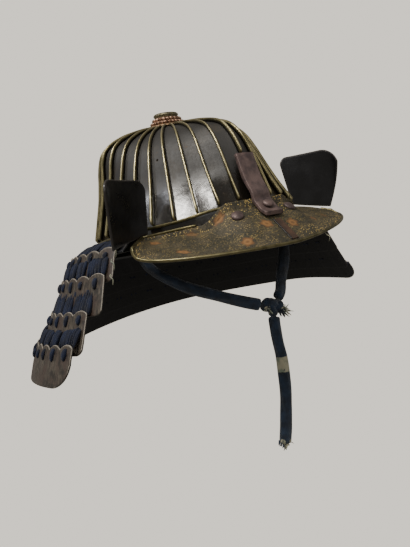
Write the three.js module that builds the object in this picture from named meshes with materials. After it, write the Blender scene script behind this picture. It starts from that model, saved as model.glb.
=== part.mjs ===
// A ribbed samurai helmet with its visor, side flaps, laced neck guard and chin cord. Millimetres,
// +Z up, the wearer faces -Y, the origin is the middle of the bowl's open rim.
import * as THREE from 'three';

// Driving dimensions
const PLATES = 32;                    // plates in the bowl, and as many ribs
const RIM_X = 105;                    // half width of the bowl at its rim
const RIM_FRONT = 124;                // rim from the origin to the front
const RIM_BACK = 129;                 // rim from the origin to the back
const CROWN_Y = 11;                   // crown axis, behind the origin
const CROWN_Z = 113;                  // height of the bowl's top
const CROWN_LEAN = 0.12;              // the crown leans forward: this much lower for each millimetre ahead of its axis
const WALL = 2;                       // iron wall of the bowl and band
const GAP = 0.35;                     // clearance between pieces
const RIB_W = 3, RIB_H = 4.6;         // rib cover
const BAND_DEEP = 17;                 // base band below the trim line
const VISOR_T = 1.4, VISOR_TUBE = 1.2;
const LAME_T = 2;
const CORD_R = 5.5, TAIL_R = 5.5;

// Share of the rim's distance from the crown axis, from the rim (first) to the crown (last),
// at equal steps of a quarter turn whose sine is the height.
const BOWL_PROFILES = [
  { angle: 0, share: [1, 0.964, 0.93, 0.885, 0.823, 0.731, 0.537, 0.311, 0.12] },      // front
  { angle: 28, share: [1, 0.909, 0.836, 0.776, 0.712, 0.614, 0.451, 0.258, 0.12] },    // beside the bar
  { angle: 58, share: [1, 0.892, 0.803, 0.733, 0.656, 0.547, 0.403, 0.242, 0.12] },    // front quarter
  { angle: 105, share: [1, 0.932, 0.868, 0.826, 0.797, 0.734, 0.563, 0.332, 0.12] },   // side
  { angle: 180, share: [1, 0.981, 0.958, 0.926, 0.874, 0.765, 0.567, 0.336, 0.12] },   // back
];

const root = new THREE.Group();
root.name = 'kabuto_helmet';
const V = (x, y, z) => new THREE.Vector3(x, y, z);
const rad = (d) => (d * Math.PI) / 180;
const clamp01 = (t) => Math.min(1, Math.max(0, t));
const smooth = (a, b, t) => { const s = clamp01((t - a) / (b - a)); return s * s * (3 - 2 * s); };
const lerp = (a, b, t) => a + (b - a) * t;

// Smooth curve through a table of equally spaced values, t from 0 to 1.
function table(values, t) {
  const n = values.length - 1, x = clamp01(t) * n, i = Math.min(Math.floor(x), n - 1), u = x - i;
  const at = (k) => (k < 0 ? 2 * values[0] - values[1] : k > n ? 2 * values[n] - values[n - 1] : values[k]);
  const [a, b, c, d] = [at(i - 1), at(i), at(i + 1), at(i + 2)];
  return 0.5 * (2 * b + (c - a) * u + (2 * a - 5 * b + 4 * c - d) * u * u + (3 * b - a - 3 * c + d) * u ** 3);
}

function addMesh(name, geometry, color) {
  const mesh = new THREE.Mesh(geometry, new THREE.MeshStandardMaterial({ color }));
  mesh.name = name;
  root.add(mesh);
}

// Turns a triangle list into an indexed geometry whose faces point outwards.
function solid(points, tris) {
  let volume = 0;
  for (const [a, b, c] of tris) volume += points[a].dot(points[b].clone().cross(points[c]));
  const index = [];
  for (const [a, b, c] of tris) index.push(...(volume > 0 ? [a, b, c] : [a, c, b]));
  const geometry = new THREE.BufferGeometry();
  geometry.setAttribute('position', new THREE.Float32BufferAttribute(points.flatMap((p) => p.toArray()), 3));
  geometry.setIndex(index);
  return geometry.toNonIndexed();
}

// A wall between two grids of points, outer(i, j) and inner(i, j). The first way runs round the part,
// and is closed on itself when ring is true.
function wall(nu, nv, ring, outer, inner) {
  const columns = ring ? nu : nu + 1, points = [], tris = [];
  for (const side of [outer, inner])
    for (let i = 0; i < columns; i++) for (let j = 0; j <= nv; j++) points.push(side(i / nu, j / nv));
  const at = (s, i, j) => s * columns * (nv + 1) + (i % columns) * (nv + 1) + j;
  const quad = (a, b, c, d) => tris.push([a, b, c], [a, c, d]);
  for (let i = 0; i < nu; i++) {
    for (let j = 0; j < nv; j++) {
      quad(at(0, i, j), at(0, i + 1, j), at(0, i + 1, j + 1), at(0, i, j + 1));
      quad(at(1, i, j), at(1, i, j + 1), at(1, i + 1, j + 1), at(1, i + 1, j));
    }
    quad(at(0, i, 0), at(1, i, 0), at(1, i + 1, 0), at(0, i + 1, 0));
    quad(at(0, i, nv), at(0, i + 1, nv), at(1, i + 1, nv), at(1, i, nv));
  }
  if (!ring)
    for (let j = 0; j < nv; j++) {
      quad(at(0, 0, j), at(0, 0, j + 1), at(1, 0, j + 1), at(1, 0, j));
      quad(at(0, nu, j), at(1, nu, j), at(1, nu, j + 1), at(0, nu, j + 1));
    }
  return solid(points, tris);
}

// A bar or ring whose section(k, s) is point k of sides, at share s along its length.
function prism(steps, sides, ring, section) {
  const rings = ring ? steps : steps + 1, points = [], tris = [];
  for (let i = 0; i < rings; i++) for (let k = 0; k < sides; k++) points.push(section(k, i / steps));
  const at = (i, k) => (i % rings) * sides + (k % sides);
  for (let i = 0; i < steps; i++)
    for (let k = 0; k < sides; k++)
      tris.push([at(i, k), at(i, k + 1), at(i + 1, k + 1)], [at(i, k), at(i + 1, k + 1), at(i + 1, k)]);
  if (!ring)
    for (let k = 1; k + 1 < sides; k++)
      tris.push([at(0, 0), at(0, k + 1), at(0, k)], [at(steps, 0), at(steps, k), at(steps, k + 1)]);
  return solid(points, tris);
}

// Bowl

function bowlShare(degrees, t) {
  const k = Math.max(1, BOWL_PROFILES.findIndex((p) => p.angle >= degrees - 1e-6));
  const [a, b] = [BOWL_PROFILES[k - 1], BOWL_PROFILES[k]];
  return lerp(table(a.share, t), table(b.share, t), smooth(a.angle, b.angle, degrees));
}

const fromFront = (angle) => Math.acos(Math.max(-1, Math.min(1, Math.cos(angle)))) * 180 / Math.PI;
// The rim is a little higher over the brow than at the sides.
const rimRise = (angle) => 1 - 4.2 * smooth(20, 46, fromFront(angle));
// Ribs, and the plates between them, crowd a little towards the front.
const ribAngle = (k) => {
  const even = k * 2 * Math.PI / PLATES;
  return even - rad(1.26) * Math.sin(2 * even) - rad(0.65) * Math.sin(4 * even);
};

// Point on the bowl's outside: angle from the front towards the wearer's right, t from rim to crown.
function bowlPoint(angle, t, out = 0) {
  const c = Math.cos(angle), s = Math.sin(angle), high = Math.sin(t * Math.PI / 2);
  const share = bowlShare(fromFront(angle), t), reach = c > 0 ? RIM_FRONT : RIM_BACK;
  const y = CROWN_Y + share * (-reach * c - CROWN_Y);
  const p = V(-RIM_X * s * share, y,
    CROWN_Z * high + CROWN_LEAN * (y - CROWN_Y) * high ** 4 + rimRise(angle) * (1 - smooth(0, 0.35, t)));
  return out ? p.addScaledVector(bowlNormal(angle, t), out) : p;
}

function bowlNormal(angle, t) {
  const e = 0.01;
  const along = bowlPoint(angle, Math.min(t + e, 1)).sub(bowlPoint(angle, Math.max(t - e, 0)));
  const round = bowlPoint(angle - e, t).sub(bowlPoint(angle + e, t));
  return round.cross(along).normalize();
}

const BOWL_STEPS = [0.004, 0.13, 0.25, 0.37, 0.49, 0.61, 0.72, 0.82, 0.9, 0.985];
const bowlStep = (v) => BOWL_STEPS[Math.round(v * 9)];
addMesh('bowl_shell', wall(PLATES, 9, true,
  (u, v) => bowlPoint(ribAngle(u * PLATES), bowlStep(v)),
  (u, v) => bowlPoint(ribAngle(u * PLATES), bowlStep(v), -WALL)), 0x15130f);

const RIB_SECTION = [[-0.5, 0], [0.5, 0], [0.5, 0.62], [0, 1], [-0.5, 0.62]];
const RIB_GAP = 0.5;
const RIB_FEET = [0.295, 0.022, 0.016];   // the front ribs start above the bar and the visor's tab
const RIB_FOOT = 0.009;                   // the others start at the trim line
const RIB_TOP_R = 26;                     // ribs end at this distance from the crown axis
function rib(index) {
  const angle = ribAngle(index);
  const across = V(-Math.cos(angle) * RIM_X, Math.sin(angle) * RIM_BACK, 0).normalize();
  const foot = RIB_FEET[Math.min(index, PLATES - index)] ?? RIB_FOOT;
  let top = 0.98;
  while (bowlPoint(angle, top).setZ(0).distanceTo(V(0, CROWN_Y, 0)) < RIB_TOP_R) top -= 0.002;
  const steps = [foot, ...BOWL_STEPS.filter((t) => t > foot + 0.03 && t < top - 0.03), top];
  return prism(steps.length - 1, 5, false, (k, s) => {
    const t = steps[Math.round(s * (steps.length - 1))], [w, h] = RIB_SECTION[k];
    return bowlPoint(angle, t, RIB_GAP + h * RIB_H * lerp(1, 0.6, s * s)).addScaledVector(across, w * lerp(RIB_W, 2.2, s * s));
  });
}
for (let k = 0; k < PLATES; k++)
  addMesh(`rib_cover_${String(k + 1).padStart(2, '0')}`, rib(k), 0x7a6a35);

// Point on an upright ring round the rim, a distance out from the bowl's rim.
function rimPoint(angle, out, z) {
  const c = Math.cos(angle), s = Math.sin(angle), reach = c > 0 ? RIM_FRONT : RIM_BACK;
  const n = V(-s / RIM_X, -c / reach, 0).normalize();
  return V(-RIM_X * s, -reach * c, z).addScaledVector(n, out);
}
function rimRing(inside, outside, low, high) {
  const corners = [[inside, low], [outside, low], [outside, high], [inside, high]];
  return prism(PLATES, 4, true, (k, s) => {
    const angle = ribAngle(s * PLATES);
    return rimPoint(angle, corners[k][0], corners[k][1] + rimRise(angle));
  });
}
addMesh('rim_trim', rimRing(GAP, 1.7, -2, 0.6), 0x8f7a3c);
addMesh('base_band', rimRing(-WALL, 0, -BAND_DEEP, -0.5), 0x12110f);

// Crown fitting: stacked rings round an open hole
function crownRing(segments, profile, bump = () => 1) {
  return prism(segments, profile.length, true, (k, s) => {
    const a = s * 2 * Math.PI, [r, z, free] = profile[k], reach = r * (free ? bump(s) : 1);
    return V(reach * Math.sin(a), CROWN_Y + reach * Math.cos(a), CROWN_Z + z + CROWN_LEAN * reach * Math.cos(a));
  });
}
const beads = (count, depth) => (s) => 1 + depth * Math.abs(Math.sin(Math.PI * count * s));
addMesh('crown_flange', crownRing(24, [[10, 0.5], [21.5, 0.5], [24.4, 0.4], [24.2, 1.5], [20.6, 3.4], [10, 3.4]]), 0x8a5636);
addMesh('crown_beads_lower', crownRing(40, [[10, 3.7], [19, 3.7], [19.8, 5.6, 1], [18.8, 7.5], [10, 7.5]],
  beads(20, 0.06)), 0x93603c);
addMesh('crown_beads_upper', crownRing(40, [[10, 7.8], [16.2, 7.8], [16.8, 9.7, 1], [15.8, 11.6], [10, 11.6]],
  beads(20, 0.06)), 0x93603c);
addMesh('crown_ring', crownRing(24, [[10, 11.9], [13.8, 11.9], [14.4, 14], [13.4, 17], [11.4, 17.6]]), 0x75663a);

// Visor

const VISOR_TIP = V(126.5, -100, -22.5);   // wearer's left end of the front edge
const VISOR_FRONT = V(0, -168, -43);  // middle of the front edge, an arc of a circle in plan
const VISOR_HUG = 0.72;               // share of the half width that hugs the base band
const VISOR_REAR_LIFT = [0, 0, 1.5, 4.2, 5, 6.2, 7.6, 6.3, 3];   // the wearer's left half is bent up, u from 0 to 1
const bentIn = (u) => 2 * Math.max(0, u) ** 2;

// Rear edge of the visor's middle surface, u from -1 (wearer's right) to 1.
function visorRear(u) {
  const a = Math.abs(u), side = Math.sign(u) || 1;
  const high = 1 - smooth(0.2, 0.38, a);
  const stand = 2.4 + 1.1 * (1 - smooth(0.36, 0.5, a)) + 1.2 * smooth(0.5, VISOR_HUG, a);
  const hug = (h) => rimPoint(-side * rad(61) * h / VISOR_HUG, stand, lerp(-12, 4, high));
  const lift = table(VISOR_REAR_LIFT, u);
  if (a <= VISOR_HUG) return hug(a).add(V(-bentIn(u), 0, lift));
  const p = hug(VISOR_HUG), k = (a - VISOR_HUG) / (1 - VISOR_HUG);
  return V(side * lerp(Math.abs(p.x), VISOR_TIP.x - 3, k ** 0.9) - bentIn(u), lerp(p.y, VISOR_TIP.y + 5, k),
    lerp(-12, VISOR_TIP.z + 1, k) + lift);
}
const VISOR_R = (VISOR_TIP.x ** 2 + (VISOR_TIP.y - VISOR_FRONT.y) ** 2) / (2 * (VISOR_TIP.y - VISOR_FRONT.y));
function visorFront(u) {
  const end = Math.asin(VISOR_TIP.x / VISOR_R), a = end * u;
  const k = (Math.cos(a) - Math.cos(end)) / (1 - Math.cos(end));
  const z = u > 0 ? lerp(VISOR_FRONT.z, VISOR_TIP.z, u ** 1.25) : lerp(VISOR_TIP.z, VISOR_FRONT.z, k ** 0.32);
  return V(VISOR_R * Math.sin(a) - bentIn(u), VISOR_FRONT.y + VISOR_R * (1 - Math.cos(a)), z);
}
// Middle surface of the visor: an upright flange, then the peak.
function visorPoint(u, v) {
  const rear = visorRear(u), front = visorFront(u), a = Math.abs(u);
  const drop = lerp(8, 0, smooth(0.2, 0.9, a));
  const knee = rear.clone().lerp(front, 0.035).add(V(0, 0, -drop * 0.85));
  if (v < 0.16) return rear.clone().lerp(knee, v / 0.16);
  const k = (v - 0.16) / 0.84;
  return knee.lerp(front, k).add(V(0, 0, 1.2 * Math.sin(Math.PI * k) * (1 - a * a)));
}
function visorNormal(u, v) {
  const e = 0.02, clampU = (x) => Math.max(-1, Math.min(1, x));
  const across = visorPoint(clampU(u + e), v).sub(visorPoint(clampU(u - e), v));
  const out = visorPoint(u, Math.min(v + e, 1)).sub(visorPoint(u, Math.max(v - e, 0)));
  const n = out.cross(across).normalize();
  return n.z < 0 && Math.abs(n.z) > 0.2 ? n.negate() : n;
}
const visorSpread = (s) => Math.sin((s - 0.5) * rad(168)) / Math.sin(rad(84));
addMesh('visor_plate', wall(28, 5, false,
  (s, v) => visorPoint(visorSpread(s), v).addScaledVector(visorNormal(visorSpread(s), v), VISOR_T / 2),
  (s, v) => visorPoint(visorSpread(s), v).addScaledVector(visorNormal(visorSpread(s), v), -VISOR_T / 2)), 0x4d4228);

// Brass tube round the visor, a little outside its edge: from the end of the raised tab out along the
// rear edge to the wearer's right tip, along the front edge, and round the left tip.
const TUBE_START = -0.4, TUBE_END = 0.93;
function visorTube(count, sides) {
  const run = [];
  for (let i = 0; i <= 9; i++) run.push([lerp(TUBE_START, -1, Math.sin(i * Math.PI / 18)), 0]);
  for (let i = 0; i <= count; i++) run.push([visorSpread(i / count), 1]);
  for (let i = 0; i <= 2; i++) run.push([lerp(1, TUBE_END, i / 2), 0]);
  const n = run.length - 1, at = (i) => visorPoint(...run[Math.max(0, Math.min(n, i))]);
  const frames = run.map(([u, v], i) => {
    const normal = visorNormal(u, v), along = at(i + 1).sub(at(i - 1)).normalize();
    const away = along.clone().cross(normal).normalize();
    if (away.dot(visorPoint(u * 0.9, 0.5).sub(at(i))) > 0) away.negate();
    const up = away.clone().cross(along).normalize();
    return { middle: at(i).addScaledVector(away, VISOR_TUBE + 1.15), away, up };
  });
  return prism(n, sides, false, (k, s) => {
    const { middle, away, up } = frames[Math.round(s * n)], a = 2 * Math.PI * k / sides;
    return middle.clone().addScaledVector(away, VISOR_TUBE * Math.cos(a)).addScaledVector(up, VISOR_TUBE * Math.sin(a));
  });
}
addMesh('visor_rim', visorTube(28, 6), 0x8f7a3c);

// Seam strip down the visor's middle, on top of the plate.
const seamPoint = (x, v, h) => {
  const u = Math.asin(x / VISOR_R) / Math.asin(VISOR_TIP.x / VISOR_R);
  return visorPoint(u, v).addScaledVector(visorNormal(u, v), VISOR_T / 2 + GAP + h);
};
addMesh('visor_seam', wall(2, 4, false,
  (s, t) => seamPoint(lerp(-4.5, 4.5, s), lerp(0.62, 0.965, t), 1.1),
  (s, t) => seamPoint(lerp(-4.5, 4.5, s), lerp(0.62, 0.965, t), 0)), 0x4f3524);

// Crest-holder bar: runs down the front and ends in a hook. Pairs are Y and Z.
const BAR_W = 20.5;
const BAR_FRONT = [[-120.4, 49.5], [-126, 25], [-132.7, 10], [-133.8, 2], [-137.4, -2.8], [-140.6, -7], [-144, -9.6], [-147.5, -11.6]];
const BAR_BACK = [[-115.8, 48.5], [-121.3, 24], [-128.6, 9.5], [-129.9, 0], [-133.8, -4.8], [-137.4, -9], [-141.6, -12.6], [-146.36, -15.44]];
const barPoint = (path, s, v) => {
  const [y, z] = path[Math.round(s * (path.length - 1))];
  return V(lerp(-BAR_W / 2, BAR_W / 2, v), y, z);
};
addMesh('crest_holder_bar', wall(7, 1, false,
  (s, v) => barPoint(BAR_FRONT, s, v), (s, v) => barPoint(BAR_BACK, s, v)), 0x3a2620);

// Domed rivet, flat side on base, facing along axis.
function rivet(base, axis, radius, height) {
  const profile = [V(0, 0, 0), V(radius, 0, 0), V(radius * 0.78, 0.62 * height, 0), V(radius * 0.4, 0.93 * height, 0),
    V(0, height, 0)];
  const geometry = new THREE.LatheGeometry(profile, 12);
  geometry.applyQuaternion(new THREE.Quaternion().setFromUnitVectors(V(0, 1, 0), axis));
  return geometry.translate(base.x, base.y, base.z);
}
addMesh('visor_rivet_centre', rivet(V(0, -139.7, -4), V(0, -0.68, 0.73).normalize(), 5.2, 3.2), 0x241c18);
for (const [name, u] of [['visor_rivet_right', -0.2], ['visor_rivet_left', 0.2]]) {
  const n = visorNormal(u, 0.32);
  addMesh(name, rivet(visorPoint(u, 0.32).addScaledVector(n, VISOR_T / 2 + 0.6), n, 6, 3.4), 0x241c18);
}

// Side flaps, turned back from the neck guard's top plate. The wearer's left one stands higher.
const FLAP_T = 2.4;
const FLAPS = {
  right: { side: -1, corners: [V(92.5, -67.6, -8.6), V(136, -79.6, -19.6), V(86.4, -67.7, 43.5), V(141, -101, 42.5)],
    innerRound: 11, outerRound: 11, bow: 0 },
  left: { side: 1, corners: [V(92.5, -68, -3), V(138, -80, -13), V(86.4, -67.7, 50.5), V(140, -101, 51)],
    innerRound: 8, outerRound: 17, bow: 3 },
};
// Corners run inner low, outer low, inner high, outer high; the outer edge bows out by bow.
function flapPoint({ side, corners, innerRound, outerRound, bow }, a, b, out) {
  const low = corners[0].clone().lerp(corners[1], a), high = corners[2].clone().lerp(corners[3], a);
  const wide = corners[2].distanceTo(corners[3]), edge = Math.min(a, 1 - a) * wide;
  const round = a < 0.5 ? innerRound : outerRound, near = Math.max(0, round - edge);
  high.z -= round - Math.sqrt(round ** 2 - near ** 2);
  const p = low.lerp(high, b), n = V(0.45, 0.89, 0);
  p.addScaledVector(n, 4 * a * (1 - a) * 3 + out);
  p.x += bow * a * a * Math.sin(Math.PI * b);
  return V(side * p.x, p.y, p.z);
}
for (const [name, flap] of Object.entries(FLAPS)) {
  const spread = (s) => 0.5 - 0.5 * Math.cos(Math.PI * s);
  addMesh(`turnback_${name}`, wall(9, 5, false, (s, b) => flapPoint(flap, spread(s), b, -FLAP_T / 2),
    (s, b) => flapPoint(flap, spread(s), b, FLAP_T / 2)), 0x17171a);
}

// Neck guard. Each row is [out, z] pairs down the lame: tight on the wearer's left,
// loose where the old lacing has stretched on the wearer's right. The left front end droops.
const PLATE_ROW = [[1, -9], [15, -12], [29, -22]];
const LAMES = [
  { from: 65, corner: 5, droop: 2, tight: [[31.5, -14], [36.5, -27], [41, -42]], loose: [[31.5, -14], [38.5, -29], [45, -46]] },
  { from: 67, corner: 6, droop: 4, tight: [[44, -33], [49, -46], [55, -61]], loose: [[46.5, -36], [54, -55], [61, -74]] },
  { from: 71.5, corner: 7, droop: 6, tight: [[58, -52], [65, -67], [71.5, -83]], loose: [[64, -67], [73, -87], [81, -106]] },
  { from: 72.7, corner: 22, droop: 8, tight: [[73, -72], [80, -85], [87, -97.5]], loose: [[84, -94], [92.5, -113], [99, -131]] },
];
function lamePoint(row, s, v, out) {
  const start = rad(row.from), angle = lerp(start, 2 * Math.PI - start, s);
  const loose = 1 - smooth(rad(100), rad(212), angle), droop = row.droop * smooth(rad(250), rad(288), angle);
  const at = (k, t) => lerp(table(row.tight.map((p) => p[k]), t), table(row.loose.map((p) => p[k]), t), loose);
  const tall = Math.hypot(at(0, 1) - at(0, 0), at(1, 1) - at(1, 0));
  const edge = Math.min(s, 1 - s) * 560, near = Math.max(0, row.corner - edge);
  const cut = (row.corner - Math.sqrt(row.corner ** 2 - near ** 2)) / tall, t = v * (1 - cut);
  const slope = V(at(0, 1) - at(0, 0), at(1, 1) - at(1, 0), 0).normalize();
  return rimPoint(angle, at(0, t) - slope.y * out, at(1, t) + slope.x * out - droop);
}
const plateRow = { from: 63.5, corner: 0.01, droop: 0, tight: PLATE_ROW, loose: PLATE_ROW };
const lameSpread = (s) => { const x = 2 * s - 1; return 0.5 + 0.5 * (0.82 * x + 0.18 * Math.sin(x * Math.PI / 2) ** 3); };
function lame(row, columns, rows) {
  return wall(columns, rows, false, (s, v) => lamePoint(row, lameSpread(s), v, LAME_T),
    (s, v) => lamePoint(row, lameSpread(s), v, 0));
}
addMesh('neck_plate', lame(plateRow, 36, 2), 0x141416);
LAMES.forEach((row, i) => addMesh(`neck_lame_${i + 1}`, lame(row, 40, 2), 0x6b5d50));

// A round cord along a curve.
function tube(curve, steps, sides, radius) {
  const frames = curve.computeFrenetFrames(steps, false);
  return prism(steps, sides, false, (k, s) => {
    const i = Math.round(s * steps), a = 2 * Math.PI * k / sides;
    return curve.getPointAt(s).addScaledVector(frames.normals[i], radius * Math.cos(a))
      .addScaledVector(frames.binormals[i], radius * Math.sin(a));
  });
}

// Chin cord: each half from inside the rim to the knot, and the tail that hangs from it.
const curveOf = (points) => new THREE.CatmullRomCurve3(points.map((p) => V(...p)), false, 'centripetal');
const CORD_RIGHT = curveOf([[-90, -38, -21], [-90.6, -50, -38], [-80.5, -61, -52.8], [-62.4, -75, -68.9],
  [-38.3, -86, -81.8], [-17.5, -93, -91.8], [-0.4, -98, -99.3]]);
const CORD_LEFT = curveOf([[92, -38, -21], [82.5, -54, -38], [63.4, -70, -57.4], [50.1, -79, -71.4],
  [40.6, -86, -82.1], [31.5, -92, -91.3], [22.4, -97, -96.5]]);
const CORD_TAIL = curveOf([[10.4, -101, -112.6], [9, -101.5, -118.7], [8.1, -102, -137.3],
  [9.3, -101.5, -154.8], [8.7, -101, -171.5], [5.7, -100, -195.6], [1.7, -99, -215.1], [-5, -98, -241.5]]);
addMesh('chin_cord_right', tube(CORD_RIGHT, 12, 10, CORD_R), 0x1c2740);
addMesh('chin_cord_left', tube(CORD_LEFT, 12, 10, CORD_R), 0x1c2740);
addMesh('chin_cord_tail', tube(CORD_TAIL, 16, 10, TAIL_R), 0x1c2740);
const KNOT = V(12, -99, -103.6);
function knot() {
  const rings = 8, sides = 12;
  return prism(rings, sides, false, (k, s) => {
    const a = 2 * Math.PI * k / sides, polar = lerp(0.22, Math.PI - 0.22, s);
    return V(9.5 * Math.sin(polar) * Math.cos(a), 8.5 * Math.sin(polar) * Math.sin(a), 9 * Math.cos(polar)).add(KNOT);
  });
}
addMesh('chin_cord_knot', knot(), 0x1c2740);

export default root;
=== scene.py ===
"""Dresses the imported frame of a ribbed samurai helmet: bowl, crown fitting, visor, side flaps,
laced neck guard and chin cord, and sets the stage round it."""

import math
from functools import partial

import bmesh
import bpy
import numpy as np
from mathutils import Matrix


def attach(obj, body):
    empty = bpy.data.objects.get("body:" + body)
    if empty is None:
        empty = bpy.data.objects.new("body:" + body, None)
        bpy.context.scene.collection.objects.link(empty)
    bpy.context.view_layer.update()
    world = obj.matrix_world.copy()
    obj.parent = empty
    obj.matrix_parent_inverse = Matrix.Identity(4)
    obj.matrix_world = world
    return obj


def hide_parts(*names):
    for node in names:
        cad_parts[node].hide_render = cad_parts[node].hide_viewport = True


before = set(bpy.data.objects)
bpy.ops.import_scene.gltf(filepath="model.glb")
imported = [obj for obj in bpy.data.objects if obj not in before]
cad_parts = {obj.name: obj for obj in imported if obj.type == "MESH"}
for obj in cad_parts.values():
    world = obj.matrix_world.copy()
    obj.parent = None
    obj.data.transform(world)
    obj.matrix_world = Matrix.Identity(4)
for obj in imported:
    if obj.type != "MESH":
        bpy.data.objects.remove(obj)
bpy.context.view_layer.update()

bl_info = {
    "name": "Ribbed samurai helmet",
    "version": (1, 0, 0),
    "blender": (4, 5, 0),
    "location": "View3D > Sidebar > Helmet",
    "description": "Builds the surfaces, lacing, cord and stage of a ribbed samurai helmet",
    "category": "Object",
}

MM = 0.001

# Sizes that the solids share, in millimetres. The origin is the middle of the bowl's rim, and the wearer
# faces -Y.
PLATES = 32
RIM_X, RIM_FRONT, RIM_BACK = 105.0, 124.0, 129.0
CROWN_Y, CROWN_Z, CROWN_LEAN = 11.0, 113.0, 0.12
# A rib stands RIB_GAP off the bowl and ends RIB_TOP_R from the crown axis. Its foot lies a share of the way
# up, highest on the front rib, which starts above the bar.
RIB_GAP, RIB_TOP_R, RIB_FOOT = 0.5, 26.0, 0.009
RIB_FEET = {0: 0.295, 1: 0.022, 2: 0.016}
# The bowl's outline at five angles from the front: shares of the rim's reach, at even steps to the crown.
PROFILE_ANGLES = [0, 28, 58, 105, 180]
PROFILES = [
    [1, 0.964, 0.93, 0.885, 0.823, 0.731, 0.537, 0.311, 0.12],
    [1, 0.909, 0.836, 0.776, 0.712, 0.614, 0.451, 0.258, 0.12],
    [1, 0.892, 0.803, 0.733, 0.656, 0.547, 0.403, 0.242, 0.12],
    [1, 0.932, 0.868, 0.826, 0.797, 0.734, 0.563, 0.332, 0.12],
    [1, 0.981, 0.958, 0.926, 0.874, 0.765, 0.567, 0.336, 0.12],
]
# The visor hugs the band for the share VISOR_HUG of its half width, over VISOR_TURN degrees, at two heights.
VISOR_TIP, VISOR_FRONT = (126.5, -100.0, -22.5), (0.0, -168.0, -43.0)
VISOR_HUG, VISOR_TURN, VISOR_LOW, VISOR_HIGH = 0.72, 61, -12, 4
VISOR_KNEE = 0.16
VISOR_REAR_LIFT = [0, 0, 1.5, 4.2, 5, 6.2, 7.6, 6.3, 3]
TUBE_START, TUBE_END = -0.4, 0.93
# The bar's front and back outlines as y and z, from its top to its hook.
BAR_W = 20.5
BAR_FRONT = [[-120.4, 49.5], [-126, 25], [-132.7, 10], [-133.8, 2], [-137.4, -2.8], [-140.6, -7],
             [-144, -9.6], [-147.5, -11.6]]
BAR_BACK = [[-115.8, 48.5], [-121.3, 24], [-128.6, 9.5], [-129.9, 0], [-133.8, -4.8], [-137.4, -9],
            [-141.6, -12.6], [-146.36, -15.44]]
# The flaps' corners: inner low, outer low, inner high, outer high.
FLAP_T, FLAP_BULGE = 2.4, 3.0
FLAPS = {
    "right": {"side": -1, "inner_round": 11, "outer_round": 11, "bow": 0,
              "corners": [[92.5, -67.6, -8.6], [136, -79.6, -19.6], [86.4, -67.7, 43.5], [141, -101, 42.5]]},
    "left": {"side": 1, "inner_round": 8, "outer_round": 17, "bow": 3,
             "corners": [[92.5, -68, -3], [138, -80, -13], [86.4, -67.7, 50.5], [140, -101, 51]]},
}
# A lame runs round from an angle to its mirror image. Its outline is [out from the rim, z] at the top,
# middle and bottom, where the lacing is tight and where it is loose. The lacing tightens and the left end
# droops between two angles, in degrees. LAME_LONG is the rough length round, for the corners.
LAME_T, LAME_LONG, LACE_RISE = 2.0, 560, 20.0
TIGHTENS, DROOPS = (100, 212), (250, 288)
PLATE_ROW = {"from": 63.5, "corner": 0.01, "droop": 0, "tight": [[1, -9], [15, -12], [29, -22]],
             "loose": [[1, -9], [15, -12], [29, -22]]}
LAMES = [
    {"from": 65, "corner": 5, "droop": 2, "tight": [[31.5, -14], [36.5, -27], [41, -42]],
     "loose": [[31.5, -14], [38.5, -29], [45, -46]]},
    {"from": 67, "corner": 6, "droop": 4, "tight": [[44, -33], [49, -46], [55, -61]],
     "loose": [[46.5, -36], [54, -55], [61, -74]]},
    {"from": 71.5, "corner": 7, "droop": 6, "tight": [[58, -52], [65, -67], [71.5, -83]],
     "loose": [[64, -67], [73, -87], [81, -106]]},
    {"from": 72.7, "corner": 22, "droop": 8, "tight": [[73, -72], [80, -85], [87, -97.5]],
     "loose": [[84, -94], [92.5, -113], [99, -131]]},
]
CORD_RIGHT = [[-90, -38, -21], [-90.6, -50, -38], [-80.5, -61, -52.8], [-62.4, -75, -68.9],
              [-38.3, -86, -81.8], [-17.5, -93, -91.8], [-0.4, -98, -99.3]]
CORD_LEFT = [[92, -38, -21], [82.5, -54, -38], [63.4, -70, -57.4], [50.1, -79, -71.4],
             [40.6, -86, -82.1], [31.5, -92, -91.3], [22.4, -97, -96.5]]
CORD_TAIL = [[10.4, -101, -112.6], [9, -101.5, -118.7], [8.1, -102, -137.3], [9.3, -101.5, -154.8],
             [8.7, -101, -171.5], [5.7, -100, -195.6], [1.7, -99, -215.1], [-5, -98, -241.5]]
KNOT = (12, -99, -103.6)

# Sizes of what only the looks have, in millimetres. WELD is how near two points of a mesh lie to be one.
WELD = 0.004
BOWL_T = 2.0
BAND = {"out": -1.0, "z": -8.8, "thick": 2.1, "tall": 16.4}
TRIM = {"out": 0.75, "z": -0.5, "thick": 2.6, "tall": 2.9}
PINHOLES, PINHOLE_R, PINHOLE_EDGE = [(-59.3, -54.8, 63.9), (-21.9, -23.8, 105.1)], 1.2, 0.5
BEAD_R = 2.05
BEAD_ROWS = {"crown_beads_lower": {"fewer": 0, "middle": 18.0, "z": 5.6},
             "crown_beads_upper": {"fewer": 4, "middle": 15.2, "z": 9.7}}
# Radius and height round the crown's open hole, CROWN_HOLE in radius.
CROWN_HOLE = 10
FLANGE = [[10, 0.7], [21.6, 0.5], [23.8, 0.7], [24.2, 1.4], [23.6, 2.1], [22.2, 2.7], [20.6, 3.5], [14, 3.6],
          [10, 3.6]]
TOP_RING = [[10, 11.9], [12.8, 12.0], [13.6, 12.5], [13.1, 13.1], [14.1, 13.7], [14.5, 14.6], [14.0, 15.9],
            [12.9, 16.9], [11.6, 17.3], [10.4, 16.9], [10, 16.0]]
# A rib's section in shares of its width and height: an upright web under a rolled brass edging.
RIB_LOOP = [[-0.36, -0.1], [0.36, -0.1], [0.38, 0.36], [0.5, 0.46], [0.5, 0.66], [0.36, 0.88], [0.13, 0.99],
            [-0.13, 0.99], [-0.36, 0.88], [-0.5, 0.66], [-0.5, 0.46], [-0.38, 0.36]]
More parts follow.
